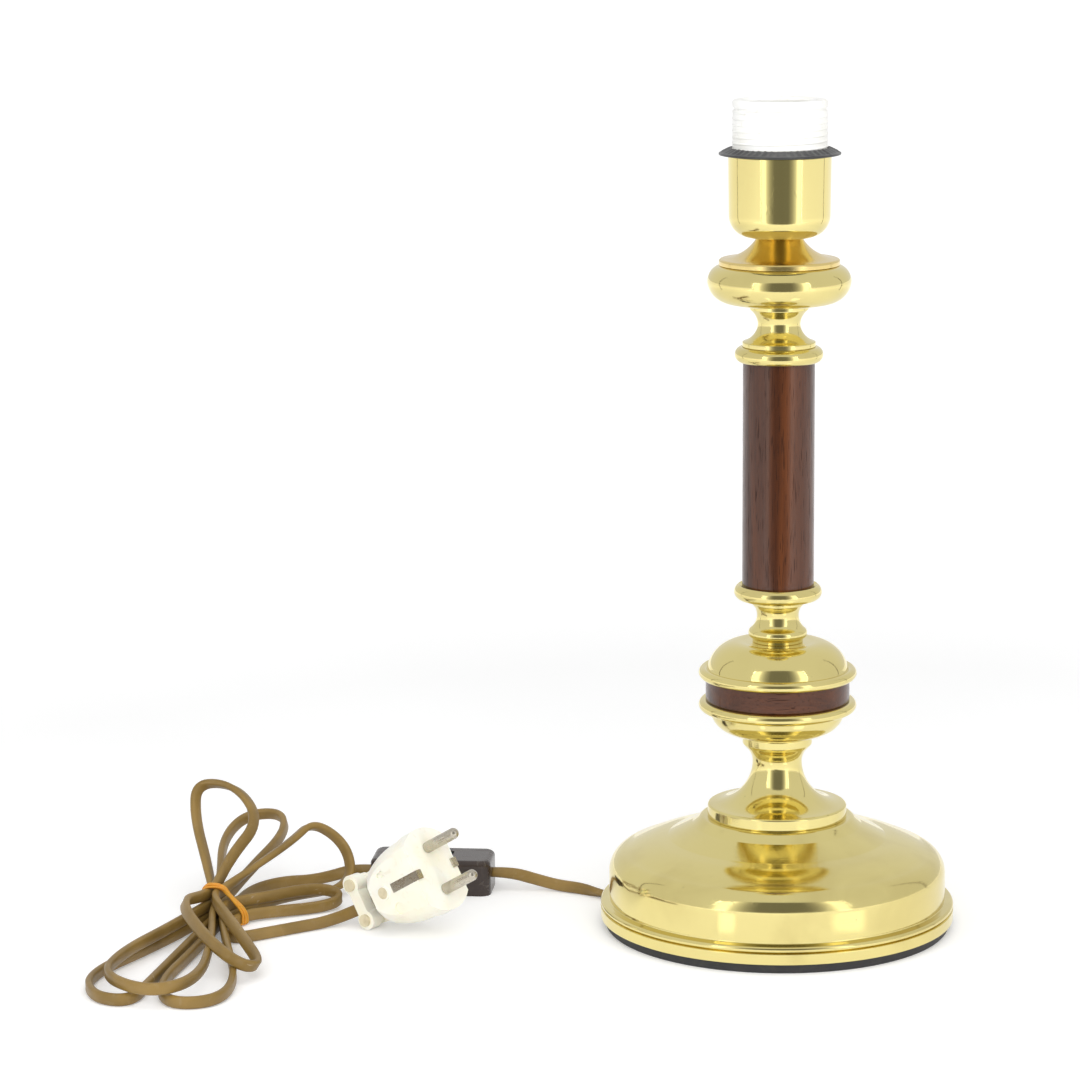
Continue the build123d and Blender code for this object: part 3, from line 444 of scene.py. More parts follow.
RUBBER = Moulded("tie_band", "tie_rubber", (0.70, 0.31, 0.025), (0.58, 0.24, 0.02), (0.35, 0.16, 0.03), 0.45,
                 0.00006, milky=0.2)
BROWN = Moulded("switch_case", "brown_plastic", (0.030, 0.019, 0.015), (0.040, 0.026, 0.021),
                (0.12, 0.10, 0.08), 0.22, 0.00002, 0.35)
ROCKER_BLACK = Moulded("switch_rocker_black", "rocker_plastic", (0.016, 0.014, 0.014), (0.025, 0.022, 0.021),
                       (0.12, 0.11, 0.10), 0.20, 0.00002, 0.3)
CREAM = Moulded("plug_cream", "cream_plastic", (0.95, 0.93, 0.84), (0.94, 0.90, 0.74), (0.55, 0.40, 0.18),
                0.32, 0.00003, 0.16, 0.1)
WIRE_BROWN = Moulded("wire_brown", "wire_brown", (0.12, 0.04, 0.018), (0.15, 0.05, 0.02),
                     (0.2, 0.1, 0.05), 0.35)
WIRE_BLUE = Moulded("wire_blue", "wire_blue", (0.03, 0.11, 0.40), (0.04, 0.13, 0.42), (0.2, 0.2, 0.3), 0.35)


# Pieces of the lamp


def heading(turn: float, pitch: float = 0.0) -> Vector:
    """Gives a unit vector from a turn about Z and a rise, in degrees."""
    flat = math.cos(math.radians(pitch))
    return Vector((flat * math.cos(math.radians(turn)), flat * math.sin(math.radians(turn)),
                   math.sin(math.radians(pitch))))


def settle(mesh: bmesh.types.BMesh, name: str, finish: Finish, body: Body,
           nodes: Iterable[str]) -> bpy.types.Object:
    """Makes an object of a bmesh, dresses it and sets it on its body.

    Args:
        mesh: the finished shape, in metres and in place.
        name: the piece's name.
        finish: what it is finished with.
        body: the body that it rides on.
        nodes: the CAD nodes that it stands for.

    Returns:
        The object.
    """
    bmesh.ops.remove_doubles(mesh, verts=mesh.verts, dist=1e-6)
    bmesh.ops.recalc_face_normals(mesh, faces=mesh.faces)
    data = bpy.data.meshes.new(name)
    mesh.to_mesh(data)
    mesh.free()
    data.shade_smooth()
    piece = bpy.data.objects.new(name, data)
    bpy.context.scene.collection.objects.link(piece)
    finish.put_on(piece)
    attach(piece, body.value)
    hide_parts(*nodes)
    LOG.info("%s: %d faces on %s", name, len(data.polygons), body.value)
    return piece


def join(mesh: bmesh.types.BMesh, *others: bmesh.types.BMesh) -> bmesh.types.BMesh:
    """Adds other shapes to a shape and frees them."""
    for other in others:
        data = bpy.data.meshes.new("joined")
        other.to_mesh(data)
        other.free()
        mesh.from_mesh(data)
        bpy.data.meshes.remove(data)
    return mesh


class Outline:
    """A closed outline in the XZ plane, drawn step by step in millimetres.

    Attributes:
        support: how long the short piece is that keeps a flat run's shading flat.
        support_share: the most that it takes of the run.
        sharp: the least turn that counts as a corner, in radians.
        merge: how near two points are made one.
        facet: how far one facet of an arc turns, in degrees.
        fewest: the fewest facets of an arc.
    """

    support = 0.55
    support_share = 0.3
    sharp = math.radians(18)
    merge = 0.002
    facet = 6.0
    fewest = 6

    def __init__(self, steps: Sequence[Step], ease: float) -> None:
        """Draws the outline and eases its corners.

        Args:
            steps: radius and height; a third number bends the run there into an arc, by that share of
                its chord.
            ease: how far the corners are rounded.
        """
        self.mesh = bmesh.new()
        self.tip = self.mesh.verts.new(self.spot(steps[0]))
        for step in [*steps[1:], steps[0][:2]]:
            if len(step) > 2:
                self.arc(step)
            else:
                self.line(step)
        bmesh.ops.remove_doubles(self.mesh, verts=self.mesh.verts, dist=self.merge)
        corners = [vert for vert in self.mesh.verts if self.bend(vert) > self.sharp]
        bmesh.ops.bevel(self.mesh, geom=corners, offset=ease, offset_type="OFFSET", segments=3, profile=0.5,
                        affect="VERTICES", clamp_overlap=True, material=-1)

    @staticmethod
    def spot(step: Step) -> Vector:
        """Gives a step's place in the XZ plane."""
        return Vector((step[0], 0.0, step[1]))

    @staticmethod
    def bend(vert: bmesh.types.BMVert) -> float:
        """Gives how far the outline turns at a vertex, in radians."""
        if len(vert.link_edges) != 2:
            return 0.0
        before, after = (edge.other_vert(vert).co - vert.co for edge in vert.link_edges)
        return math.pi - before.angle(after, math.pi)

    def line(self, step: Step) -> None:
        """Draws a straight run with a short piece at each end that keeps its shading flat."""
        start, end = self.tip.co.copy(), self.spot(step)
        length = (end - start).length
        if length < 1e-6:
            return
        near = min(self.support, length * self.support_share) / length
        for share in (near, 1.0 - near, 1.0):
            made = bmesh.ops.extrude_vert_indiv(self.mesh, verts=[self.tip])
            self.tip = made["verts"][0]
            self.tip.co = start.lerp(end, share)

    def arc(self, step: Step) -> None:
        """Draws an arc whose rise is a share of its chord."""
        start, end, share = self.tip.co.copy(), self.spot(step), step[2]
        run = end - start
        across = Vector((run.z, 0.0, -run.x))
        sweep = 4.0 * math.atan(2.0 * abs(share))
        radius = run.length / (2.0 * math.sin(sweep / 2.0))
        way = 1.0 if share > 0 else -1.0
        centre = (start + end) / 2.0 - across.normalized() * way * radius * math.cos(sweep / 2.0)
        count = max(self.fewest, math.ceil(math.degrees(sweep) / self.facet))
        made = bmesh.ops.spin(self.mesh, geom=[self.tip], cent=centre, axis=(0.0, -way, 0.0), angle=sweep,
                              steps=count, use_merge=False, use_duplicate=False)
        self.tip = next(item for item in made["geom_last"] if isinstance(item, bmesh.types.BMVert))
        self.tip.co = end

    def turned(self, count: int) -> bmesh.types.BMesh:
        """Turns the outline about Z and gives the solid in metres."""
        geom = [*self.mesh.verts, *self.mesh.edges]
        bmesh.ops.spin(self.mesh, geom=geom, cent=(0.0, 0.0, 0.0), axis=(0.0, 0.0, 1.0), angle=math.tau,
                       steps=count, use_merge=True, use_duplicate=False)
        bmesh.ops.scale(self.mesh, vec=(MM, MM, MM), verts=self.mesh.verts)
        bmesh.ops.remove_doubles(self.mesh, verts=self.mesh.verts, dist=1e-7)
        return self.mesh


@dataclass
class Turning:
    """One turned piece of the stem.

    Attributes:
        node: the CAD node that it stands for.
        steps: its outline in millimetres, as Outline takes it.
        finish: what it is finished with.
        ease: how far its corners are rounded.
        count: how many flats it is turned in.
    """

    node: str
    steps: Sequence[Step]
    finish: Finish = BRASS
    ease: float = 0.25
    count: int = 144

    def build(self) -> bpy.types.Object:
        """Turns the piece and sets it on the lamp."""
        mesh = Outline(self.steps, self.ease).turned(self.count)
        return settle(mesh, self.node + "_turned", self.finish, Body.LAMP, [self.node])


@dataclass
class Foot:
    """The foot's spun shell, with a dent in its shoulder.

    Attributes:
        dent_turn: where the dent lies, in degrees.
        dent_r: how far from the axis it lies, in millimetres.
        dent_z: its height.
        dent_size: how wide it is.
        dent_depth: how deep it is.
        dent_fall: how far down the push points, for one inward.
        dent_squeeze: how its width round the foot counts against its height.
        dent_wave: how far its wave runs into a low rim, in radians.
    """

    dent_turn: float = 207.0
    dent_r: float = 70.3
    dent_z: float = 26.0
    dent_size: float = 9.0
    dent_depth: float = 0.6
    dent_fall: float = 0.6
    dent_squeeze: float = 0.62
    dent_wave: float = 2.2

    def build(self) -> None:
        """Builds the shell."""
        steps = [(71.5, 4.2), (74.7, 4.2), (74.7, 8.6), (73.4, 9.0), (73.4, 11.6, 0.5), (71.1, 12.0),
                 (71.1, 23.6), (63.654, 32.795, 0.177), (50.0, 38.0, 0.03), (32.8, 46.8, -0.09),
                 (31.2, 47.7, 0.09), (5.3, 47.7), (5.3, 46.7), (30.7, 46.7), (32.0, 46.0), (49.5, 37.0),
                 (63.3, 31.8), (70.1, 23.6, -0.17), (70.1, 10.6), (71.5, 7.4)]
        mesh = Outline(steps, 0.2).turned(224)
        self.dent(mesh)
        settle(mesh, "foot_shell", BRASS_FOOT, Body.LAMP, ["base_shell"])

    def dent(self, mesh: bmesh.types.BMesh) -> None:
        """Pushes the shoulder in at one place, with a low rim round it."""
        middle = heading(self.dent_turn) * self.dent_r * MM
        middle.z = self.dent_z * MM
        inward = (-heading(self.dent_turn) - Vector((0.0, 0.0, self.dent_fall))).normalized()
        along = heading(self.dent_turn + 90.0)
        for vert in mesh.verts:
            away = vert.co - middle
            spread = Vector((away.dot(along) * self.dent_squeeze, away.dot(inward), away.z)).length
            share = spread / (self.dent_size * MM)
            if share < 1.0:
                push = (1.0 - share * share) ** 2 * math.cos(share * self.dent_wave)
                vert.co += inward * push * self.dent_depth * MM


@dataclass
class Stem:
    """Everything brass and wood between the foot and the lampholder."""

    pieces: list[Turning] = field(default_factory=lambda: [
        Turning("foot_spool", [(26.5, 47.7), (29.3, 47.7), (29.3, 52.3), (28.7, 52.9), (10.4, 71.5, -0.2071),
                               (13.4, 77.5, -0.10), (14.65, 79.0), (14.65, 82.2), (5.3, 82.2), (5.3, 59.7),
                               (9.2, 59.7), (26.5, 50.5, 0.12)]),
        Turning("lower_bowl", [(5.3, 82.2), (12.0, 82.2), (23.5, 85.4, 0.065), (28.2, 92.6, 0.115),
                               (29.2, 94.136), (30.9, 98.0, 0.76), (28.6, 98.0), (28.6, 94.8), (27.0, 92.6),
                               (22.9, 86.6, -0.115), (12.0, 83.4, -0.065), (5.3, 83.4)]),
        Turning("wood_ring", [(5.3, 95.0), (28.4, 95.0), (28.4, 98.0), (30.2, 98.0), (30.2, 107.2),
                              (28.4, 107.2), (28.4, 110.2), (5.3, 110.2)], WOOD_RING, 0.3),
        Turning("upper_dome", [(28.6, 107.2), (30.9, 107.2), (29.564, 111.317, 0.70), (14.0, 122.7, 0.2065),
                               (5.3, 122.7), (5.3, 121.5), (14.0, 121.5), (28.6, 110.717, -0.2065)]),
        Turning("lower_neck", [(5.3, 122.7), (10.6, 122.7), (10.6, 124.2), (11.5, 128.4, 0.30),
                               (9.6, 137.2, -0.18), (10.9, 138.8), (10.9, 140.8), (5.3, 140.8)]),
        Turning("lower_collar", [(5.3, 140.8), (15.9, 140.8), (16.45, 147.1, 0.356), (15.05, 145.7),
                                 (15.05, 142.8), (5.3, 142.8)]),
        Turning("wood_column", [(5.3, 142.8), (15.0, 142.8), (15.0, 245.3), (5.3, 245.3)], WOOD, 0.4),
        Turning("upper_collar", [(5.3, 247.3), (5.3, 245.3), (15.05, 245.3), (15.05, 242.4), (16.45, 241.0),
                                 (15.9, 247.3, 0.356)]),
        Turning("upper_neck", [(5.3, 247.3), (15.2, 247.3), (15.2, 249.3), (14.6, 249.6),
                               (8.87, 256.6, -0.155), (11.3, 261.9, -0.095), (12.3, 262.9), (12.3, 265.4),
                               (5.3, 265.4)]),
        Turning("knob", [(5.3, 265.4), (21.0, 265.4), (29.8, 273.8, 0.175), (24.6, 281.2, 0.184),
                         (5.3, 281.2), (5.3, 280.0), (23.4, 280.0), (28.6, 273.8, -0.184),
                         (21.0, 266.6, -0.175), (5.3, 266.6)]),
        Turning("cone_cap", [(5.3, 281.2), (25.0, 281.2), (25.0, 283.1), (24.4, 283.7), (9.3, 292.6, -0.132),
                             (5.3, 292.6)], BRASS_CONE),
        Turning("holder_cup", [(5.3, 292.6), (12.0, 292.6), (21.0, 301.6, 0.2071), (21.3, 326.2),
                               (20.5, 326.2), (20.2, 301.6), (12.0, 293.4, -0.2071), (5.3, 293.4)]),
    ])

    def build(self) -> None:
        """Turns every piece in order, from the foot up."""
        for piece in self.pieces:
            piece.build()


@dataclass
class Lampholder:
    """The white sleeve, the shade ring on its thread and the screw shell inside.

    Attributes:
        root_r: the sleeve's radius between the turns of its thread, in millimetres.
        crest_r: its radius over them.
        pitch: how far apart the sleeve's turns are.
        thread_z: where the sleeve's lowest turn starts.
        thread_turns: how many turns it has.
        teeth: how many teeth the ring's cone has.
        worn: two slower waves that wear the teeth away.
        wear: how high they stand against a tooth.
        tooth: how high a tooth stands.
        cap_r: the screw shell's smallest inner radius.
        cap_depth: how deep the shell's rolled thread is.
        cap_pitch: how far apart the shell's turns are.
        cap_wall: how thick the shell is behind its thread.
        sunk: how far the thread's foot lies in the sleeve.
        facets: how many steps one turn of a thread has.
        cap_z: where the shell's lowest turn starts.
        cap_turns: how many turns it has.
    """

    root_r: float = 19.45
    crest_r: float = 19.72
    pitch: float = 2.5
    thread_z: float = 326.8
    thread_turns: float = 6.8
    teeth: float = 48.0
    worn: tuple[float, float] = (31.0, 7.0)
    wear: float = 0.6
    tooth: float = 0.22
    cap_r: float = 13.1
    cap_depth: float = 0.8
    cap_pitch: float = 3.6
    cap_wall: float = 0.3
    sunk: float = 0.3
    facets: int = 64
    cap_z: float = 323.8
    cap_turns: float = 4.6

    def sleeve(self) -> None:
        """Builds the sleeve with a stepped lip, and the thread on it."""
        root, crest, foot_r = self.root_r, self.crest_r, self.root_r - self.sunk
        steps = [(17.65, 312.0), (root, 312.0), (root, 344.6), (18.9, 345.0), (18.9, 345.6), (19.6, 346.0),
                 (19.6, 348.2), (18.9, 349.0), (15.6, 349.0), (14.4, 347.8), (14.4, 330.0), (15.6, 330.0),
                 (15.6, 346.5), (17.65, 346.5)]
        thread = self.helix([(foot_r, 0.0), (foot_r, 1.5), (crest, 1.0), (crest, 0.5)], self.pitch,
                            self.thread_z, self.thread_turns)
        mesh = join(Outline(steps, 0.3).turned(128), thread)
        settle(mesh, "holder_sleeve_threaded", WHITE, Body.LAMP, ["holder_sleeve"])

    def helix(self, section: Sequence[Step], pitch: float, low: float, turns: float) -> bmesh.types.BMesh:
        """Winds a closed section round the axis.

        Args:
            section: the section's corners, radius and height in millimetres.
            pitch: how far one turn rises.
            low: where the first turn starts.
            turns: how many turns there are.

        Returns:
            The wound shape in metres.
        """
        mesh = bmesh.new()
        corners = [mesh.verts.new((radius, 0.0, low + height)) for radius, height in section]
        bmesh.ops.contextual_create(mesh, geom=corners)
        steps = round(turns * self.facets)
        bmesh.ops.spin(mesh, geom=[*mesh.verts, *mesh.edges, *mesh.faces], cent=(0.0, 0.0, 0.0),
                       axis=(0.0, 0.0, 1.0), dvec=(0.0, 0.0, pitch * turns / steps), angle=math.tau * turns,
                       steps=steps, use_merge=False, use_duplicate=False)
        bmesh.ops.scale(mesh, vec=(MM, MM, MM), verts=mesh.verts)
        return mesh

    def ring(self) -> None:
        """Builds the shade ring: a thin flange and a low cone with worn teeth."""
        steps = [(19.92, 326.5), (25.1, 326.5), (25.1, 327.3), (24.2, 327.7), (20.9, 329.3), (19.92, 329.3)]
        cone_in, cone_out, cone_z = 20.2, 24.0, 327.9
        mesh = Outline(steps, 0.2).turned(192)
        for vert in mesh.verts:
            radius = math.hypot(vert.co.x, vert.co.y) / MM
            if cone_in < radius < cone_out and vert.co.z > cone_z * MM:
                angle = math.atan2(vert.co.y, vert.co.x)
                slow = math.sin(angle * self.worn[0] + 1.0) * math.sin(angle * self.worn[1])
                vert.co.z += (math.sin(angle * self.teeth) + self.wear * slow) * self.tooth * MM
        settle(mesh, "shade_ring_toothed", BLACK_RING, Body.RING, ["shade_ring"])

    def shell(self) -> None:
        """Builds the screw shell: a dished bottom, the rolled thread and a rim."""
        dish = Outline([(8.0, 320.0), (10.1, 320.0), (13.5, 323.4, 0.2071), (13.5, 325.0), (13.1, 325.0),
                        (13.1, 323.6), (10.1, 320.45, -0.2071), (8.0, 320.45)], 0.1).turned(96)
        near, deep, half = self.cap_r, self.cap_r + self.cap_depth, self.cap_pitch / 2
        between, back = self.cap_r + self.cap_depth * 0.5, self.cap_r + self.cap_depth + self.cap_wall
        wound = self.helix([(near, 0.0), (between, half * 0.5), (deep, half), (between, half * 1.5),
                            (near, self.cap_pitch), (back, self.cap_pitch), (back, 0.0)],
                           self.cap_pitch, self.cap_z, self.cap_turns)
        rim = Outline([(13.3, 340.5), (13.75, 340.5), (13.75, 344.5), (13.3, 344.5)], 0.12).turned(96)
        settle(join(dish, wound, rim), "screw_shell_rolled", NICKEL, Body.LAMP, ["screw_shell"])

    def build(self) -> None:
        """Builds the sleeve, the ring and the shell."""
        self.sleeve()
        self.ring()
        self.shell()


# The cord and what is on it

UP = Vector((0.0, 0.0, 1.0))
PLUG = Vector((-144.0, -20.0, 30.6))
PLUG_AHEAD = heading(-37.3, 30.7)
PLUG_UP = heading(-37.3, 120.7)


def spline_points(places: Sequence[Vector]) -> list[Vector]:
    """Reads the points of the smooth line that a route's places control.

    Args:
        places: the route's places, in metres.

    Returns:
        The points that the line's own mesh has.
    """
    curve = bpy.data.curves.new("route", "CURVE")
    curve.dimensions = "3D"
    curve.resolution_u = 10
    spline = curve.splines.new("NURBS")
    spline.points.add(len(places) - 1)
    for point, spot in zip(spline.points, places):
        point.co = (*spot, 1.0)
    spline.order_u = 3
    spline.use_endpoint_u = True
    holder = bpy.data.objects.new("route", curve)
    line = bpy.data.meshes.new_from_object(holder)
    points = [vert.co.copy() for vert in line.vertices]
    bpy.data.meshes.remove(line)
    bpy.data.objects.remove(holder)
    bpy.data.curves.remove(curve)
    return points


@dataclass
class Ribbon:
    """A flat band or cord along a route.

    Attributes:
        route: the route's places in millimetres, each with the way its wide side faces.
        width: its width in millimetres.
        thick: its thickness.
        floor: whether it is kept above the floor.
        dip: the share of its thickness left in the middle of each flat.
        gap: how far it stays above the floor.
        reach: how far aside its wide side's own line runs, in metres.
    """

    route: Sequence[tuple[Vector, Vector]]
    width: float = 5.2
    thick: float = 3.2
    floor: bool = True
    dip: float = 0.86
    gap: float = 0.1
    reach: float = 0.01

    def places(self) -> tuple[list[Vector], list[Vector]]:
        """Gives the route's places in metres and the steady ways of its wide side."""
        spots, ways = [], []
        for spot, wide in self.route:
            way = wide.normalized()
            if ways and way.dot(ways[-1]) < 0:
                way = -way
            rest = math.hypot(self.width / 2 * way.z, self.thick / 2 * math.hypot(way.x, way.y))
            high = max(spot.z, rest + self.gap) if self.floor else spot.z
            spots.append(Vector((spot.x, spot.y, high)) * MM)
            ways.append(way)
        return spots, ways

    def section(self, mesh: bmesh.types.BMesh) -> list[bmesh.types.BMEdge]:
        """Draws the cord's section round the origin, wide along X, with a shallow groove on each flat."""
        radius, half = self.thick / 2, (self.width - self.thick) / 2
        made = bmesh.ops.create_circle(mesh, cap_ends=False, radius=radius * MM, segments=16)
        for vert in made["verts"]:
            if abs(vert.co.x) < 1e-6:
                vert.co.y *= self.dip
            else:
                vert.co.x += math.copysign(half * MM, vert.co.x)
        return list(mesh.edges)

    def build(self) -> tuple[bmesh.types.BMesh, list[Vector]]:
        """Sweeps the section along the route.

        Returns:
            The cord's mesh and the points along its middle.
        """
        spots, ways = self.places()
        middle = spline_points(spots)
        side = spline_points([spot + way * self.reach for spot, way in zip(spots, ways)])
        mesh = bmesh.new()
        edges = self.section(mesh)
        ends = [edges]
        before = Matrix.Identity(4)
        for number, here in enumerate(middle):
            tangent = (middle[min(number + 1, len(middle) - 1)] - middle[max(number - 1, 0)]).normalized()
            wide = side[number] - here
            wide = (wide - tangent * wide.dot(tangent)).normalized()
            thin = tangent.cross(wide)
            now = Matrix((wide, thin, tangent)).transposed().to_4x4()
            now.translation = here
            if number > 0:
                made = bmesh.ops.extrude_edge_only(mesh, edges=edges)
                edges = [item for item in made["geom"] if isinstance(item, bmesh.types.BMEdge)]
                verts = [item for item in made["geom"] if isinstance(item, bmesh.types.BMVert)]
                edges = [edge for edge in edges if set(edge.verts) <= set(verts)]
            else:
                verts = list(mesh.verts)
            bmesh.ops.transform(mesh, matrix=now @ before.inverted(), verts=verts)
            before = now
        ends.append(edges)
        for end in ends:
            bmesh.ops.contextual_create(mesh, geom=end)
        return mesh, middle


@dataclass(frozen=True)
class Loop:
    """One loop of the hank.

    Attributes:
        tip: the middle of its far end, in millimetres.
        outward: how its first side stands off there.
        back: how its second side stands off there.
        wide: the way the cord's wide side faces.
        start: the share of the first side's stand at its first place.
    """

    tip: Point
    outward: Point
    back: Point
    wide: Point
    start: float = 0.35


@dataclass
class Cable:
    """The whole flat cord: up to the switch, the tied hank and on to the plug.

    Attributes:
        mouth_turn: where the cord leaves the foot, in degrees.
        mouth_r: how far out that is, in millimetres.
        flat: the height at which the cord lies on its flat side.
        switch: the middle of the switch on the floor.
        switch_turn: the way the switch points.
        switch_half: half the switch's length.
        stub: how far the cord runs straight out of the switch.
        tucked: how far it reaches into the switch.
        waist: the place under the tie.
        waist_turn: the way the strands run there.
        pitch: how far apart the strands' columns are.
        rise: how far apart their rows are.
        low: the height of the lowest row.
        tied: half the length that the strands run straight under the tie.
        ends: how far out the first and last strands keep straight.
        near_share: where along it each side of a loop has its first place.
        shares: its other places along it, with how far it stands off there.
        settled: how far the cord's wide side leans where it enters the switch.
        lanes: the column and row of each strand.
        lamp_places: the cord's places between the foot and the switch.
        switch_places: its places between the switch and the hank.
        plug_places: its places between the hank and the plug.
        plug_back: how far behind the plug's middle its last two places are.
        under: how far from the axis its places under the foot are.
        tube: the heights of its places in the tube.
        loops: the hank's loops, in the order in which the cord makes them.
    """

    mouth_turn: float = 152.0
    mouth_r: float = 72.6
    flat: float = 2.1
    switch: Point = (-147.5, 57.5, 7.75)
    switch_turn: float = -6.0
    switch_half: float = 26.5
    stub: float = 8.5
    tucked: float = -1.0
    waist: Point = (-236.0, 3.0, 0.0)
    waist_turn: float = 70.0
    pitch: float = 3.9
    rise: float = 5.1
    low: float = 3.4
    tied: float = 5.5
    ends: tuple[float, float] = (10.0, 16.7)
    near_share: float = 0.34
    shares: Sequence[tuple[float, float]] = ((0.76, 0.95), (1.0, 0.6))
    settled: float = 0.3
    lanes: Sequence[tuple[float, int]] = ((-0.5, 0), (-1.5, 0), (-0.5, 1), (-1.5, 1), (-1.5, 2), (-0.5, 2),
                                          (0.5, 0), (0.5, 1), (1.95, 0))
    lamp_places: Sequence[Point] = ((-82.4, 45.6, 2.2), (-92.6, 50.6, 2.6), (-103.0, 53.2, 5.0))
    switch_places: Sequence[Point] = ((-191.8, 62.0, 4.6), (-201.8, 60.6, 2.9), (-212.0, 60.0, 2.1),
                                      (-221.6, 53.0, 2.1), (-228.0, 42.0, 2.1), (-231.0, 28.5, 2.5))
    plug_places: Sequence[Point] = ((-231.6, -22.5, 2.6), (-226.4, -25.4, 2.1), (-214.4, -17.6, 2.1),
                                    (-202.2, -9.8, 2.1), (-191.0, -2.8, 2.3))
    plug_back: tuple[float, float] = (48.5, 38.0)
    under: Sequence[float] = (72.6, 40.0, 14.0, 0.0)
    tube: Sequence[float] = (16.0, 60.0, 180.0, 303.8)
    loops: Sequence[Loop] = (
        Loop((-262.5, -108.5, 2.6), (-1.0, -5.0, 0.0), (-28.0, 6.0, 0.0), (0.0, 0.0, 1.0)),
        Loop((-224.0, 86.0, 27.5), (-14.0, 2.0, -3.0), (15.0, -2.0, 0.0), (-0.21, -0.25, 0.94)),
        Loop((-273.0, -105.0, 8.4), (30.0, -22.0, 0.0), (-6.0, 16.0, 0.0), (0.0, 0.0, 1.0), 0.5),
        Loop((-248.0, 62.0, 51.8), (-5.5, 3.0, -7.6), (25.0, -3.0, -9.0), (-0.70, -0.50, 0.50)),
        Loop((-208.0, -89.0, 2.8), (-24.0, 11.0, 9.0), (-9.0, 24.0, 4.5), (0.55, 0.10, 0.83), 0.85),
        Loop((-200.0, 56.0, 33.5), (0.5, -2.0, -3.0), (26.0, 2.0, -24.0), (0.72, -0.52, 0.45)),
        Loop((-236.5, -112.0, 2.5), (-19.0, -5.0, 0.0), (14.0, 1.0, -0.5), (0.0, 0.0, 1.0)),
        Loop((-187.5, 27.0, 5.5), (-3.0, 5.0, 2.6), (2.0, -3.0, -2.4), (0.0, 0.0, 1.0)))

    def mouth(self, onward: float) -> Vector:
        """Gives a place on the straight run out of the foot."""
        return heading(self.mouth_turn) * (self.mouth_r + onward) + UP * self.flat

    def switch_end(self, side: int, onward: float) -> Vector:
        """Gives a place on the straight run out of one end of the switch."""
        return Vector(self.switch) + heading(self.switch_turn) * side * (self.switch_half + onward)

    def strand(self, number: int, along: float) -> tuple[Vector, Vector]:
        """Gives a place on one strand under the tie, with the way its wide side faces."""
        column, row = self.lanes[number]
        way = heading(self.waist_turn)
        across = heading(self.waist_turn - 90.0)
        spot = Vector(self.waist) + way * along + across * column * self.pitch
        return spot + UP * (self.low + row * self.rise), UP

    def loop(self, number: int, before: Vector, after: Vector) -> list[tuple[Vector, Vector]]:
        """Gives the places of one loop.

        Args:
            number: which loop it is.
            before: where the strand that goes in ends.
            after: where the strand that comes out starts.

        Returns:
            Its places, each with the way the wide side faces.
        """
        loop = self.loops[number]
        middle, tip = (before + after) / 2, Vector(loop.tip)
        sides = []
        for root, side, start in ((before, loop.outward, loop.start), (after, loop.back, Loop.start)):
            places = []
            for along, across in ((self.near_share, start), *self.shares):
                spot = middle + (root - middle) * (1 - along) + (tip - middle) * along + Vector(side) * across
                places.append((spot, Vector(loop.wide)))
            sides.append(places)
        return sides[0] + sides[1][::-1]

    @staticmethod
    def laid(places: Iterable[Point]) -> list[tuple[Vector, Vector]]:
        """Gives places on which the cord lies with its wide side upright."""
        return [(Vector(spot), UP) for spot in places]

    def lamp_side(self) -> list[tuple[Vector, Vector]]:
        """Gives the route from the foot to the switch."""
        across, level = heading(self.mouth_turn + 90.0), heading(self.switch_turn + 90.0)
        first, lean = 10.6, 0.4
        return [(self.mouth(0.0), across), (self.mouth(first), across + UP * lean),
                *self.laid(self.lamp_places), (self.switch_end(1, self.stub), UP + level),
                (self.switch_end(1, self.tucked), level + UP * self.settled)]

    def hank_side(self) -> list[tuple[Vector, Vector]]:
        """Gives the route from the switch through the hank to the plug."""
        level = heading(self.switch_turn + 90.0)
        route = [(self.switch_end(-1, self.tucked), level + UP * self.settled),
                 (self.switch_end(-1, self.stub), UP + level), *self.laid(self.switch_places)]
        last, (near, far) = len(self.lanes) - 1, self.ends
        route += [self.strand(0, far), self.strand(0, near)]
        for number in range(last + 1):
            reach = -self.tied if number % 2 == 0 else self.tied
            if number > 0:
                route.append(self.strand(number, -reach))
            if number < last:
                leaving = self.strand(number, reach)
                route.append(leaving)
                route += self.loop(number, leaving[0], self.strand(number + 1, reach)[0])
        route += [self.strand(last, -near), self.strand(last, -far), *self.laid(self.plug_places)]
        return route + [(PLUG - PLUG_AHEAD * back, PLUG_UP) for back in self.plug_back]

    def inside(self) -> list[tuple[Vector, Vector]]:
        """Gives the route inside the foot and up the tube."""
        across, out = heading(self.mouth_turn + 90.0), heading(self.mouth_turn)
        spots = [out * far + UP * self.flat for far in self.under] + [UP * high for high in self.tube]
        return [(spot, across) for spot in spots]

    def build(self) -> None:
        mesh, line = Ribbon(self.lamp_side()).build()
        lamp_cord = settle(mesh, "lamp_cord", CORD, Body.LAMP, ["lamp_lead"])
        short, wide = self.length(line), round(Ribbon.width * MM, 4)
        mesh, line = Ribbon(self.hank_side()).build()
        long_cord = settle(mesh, "hank_cord", CORD, Body.LAMP, ["switch_lead", "hank", "plug_lead"])
        mesh, line = Ribbon(self.inside(), floor=False).build()
        settle(mesh, "inner_cord", CORD, Body.LAMP, ["inner_lead"])

    @staticmethod
    def length(line: Sequence[Vector]) -> float:
        """Gives the length of a line of points, in metres."""
        return sum((after - before).length for before, after in zip(line, line[1:]))


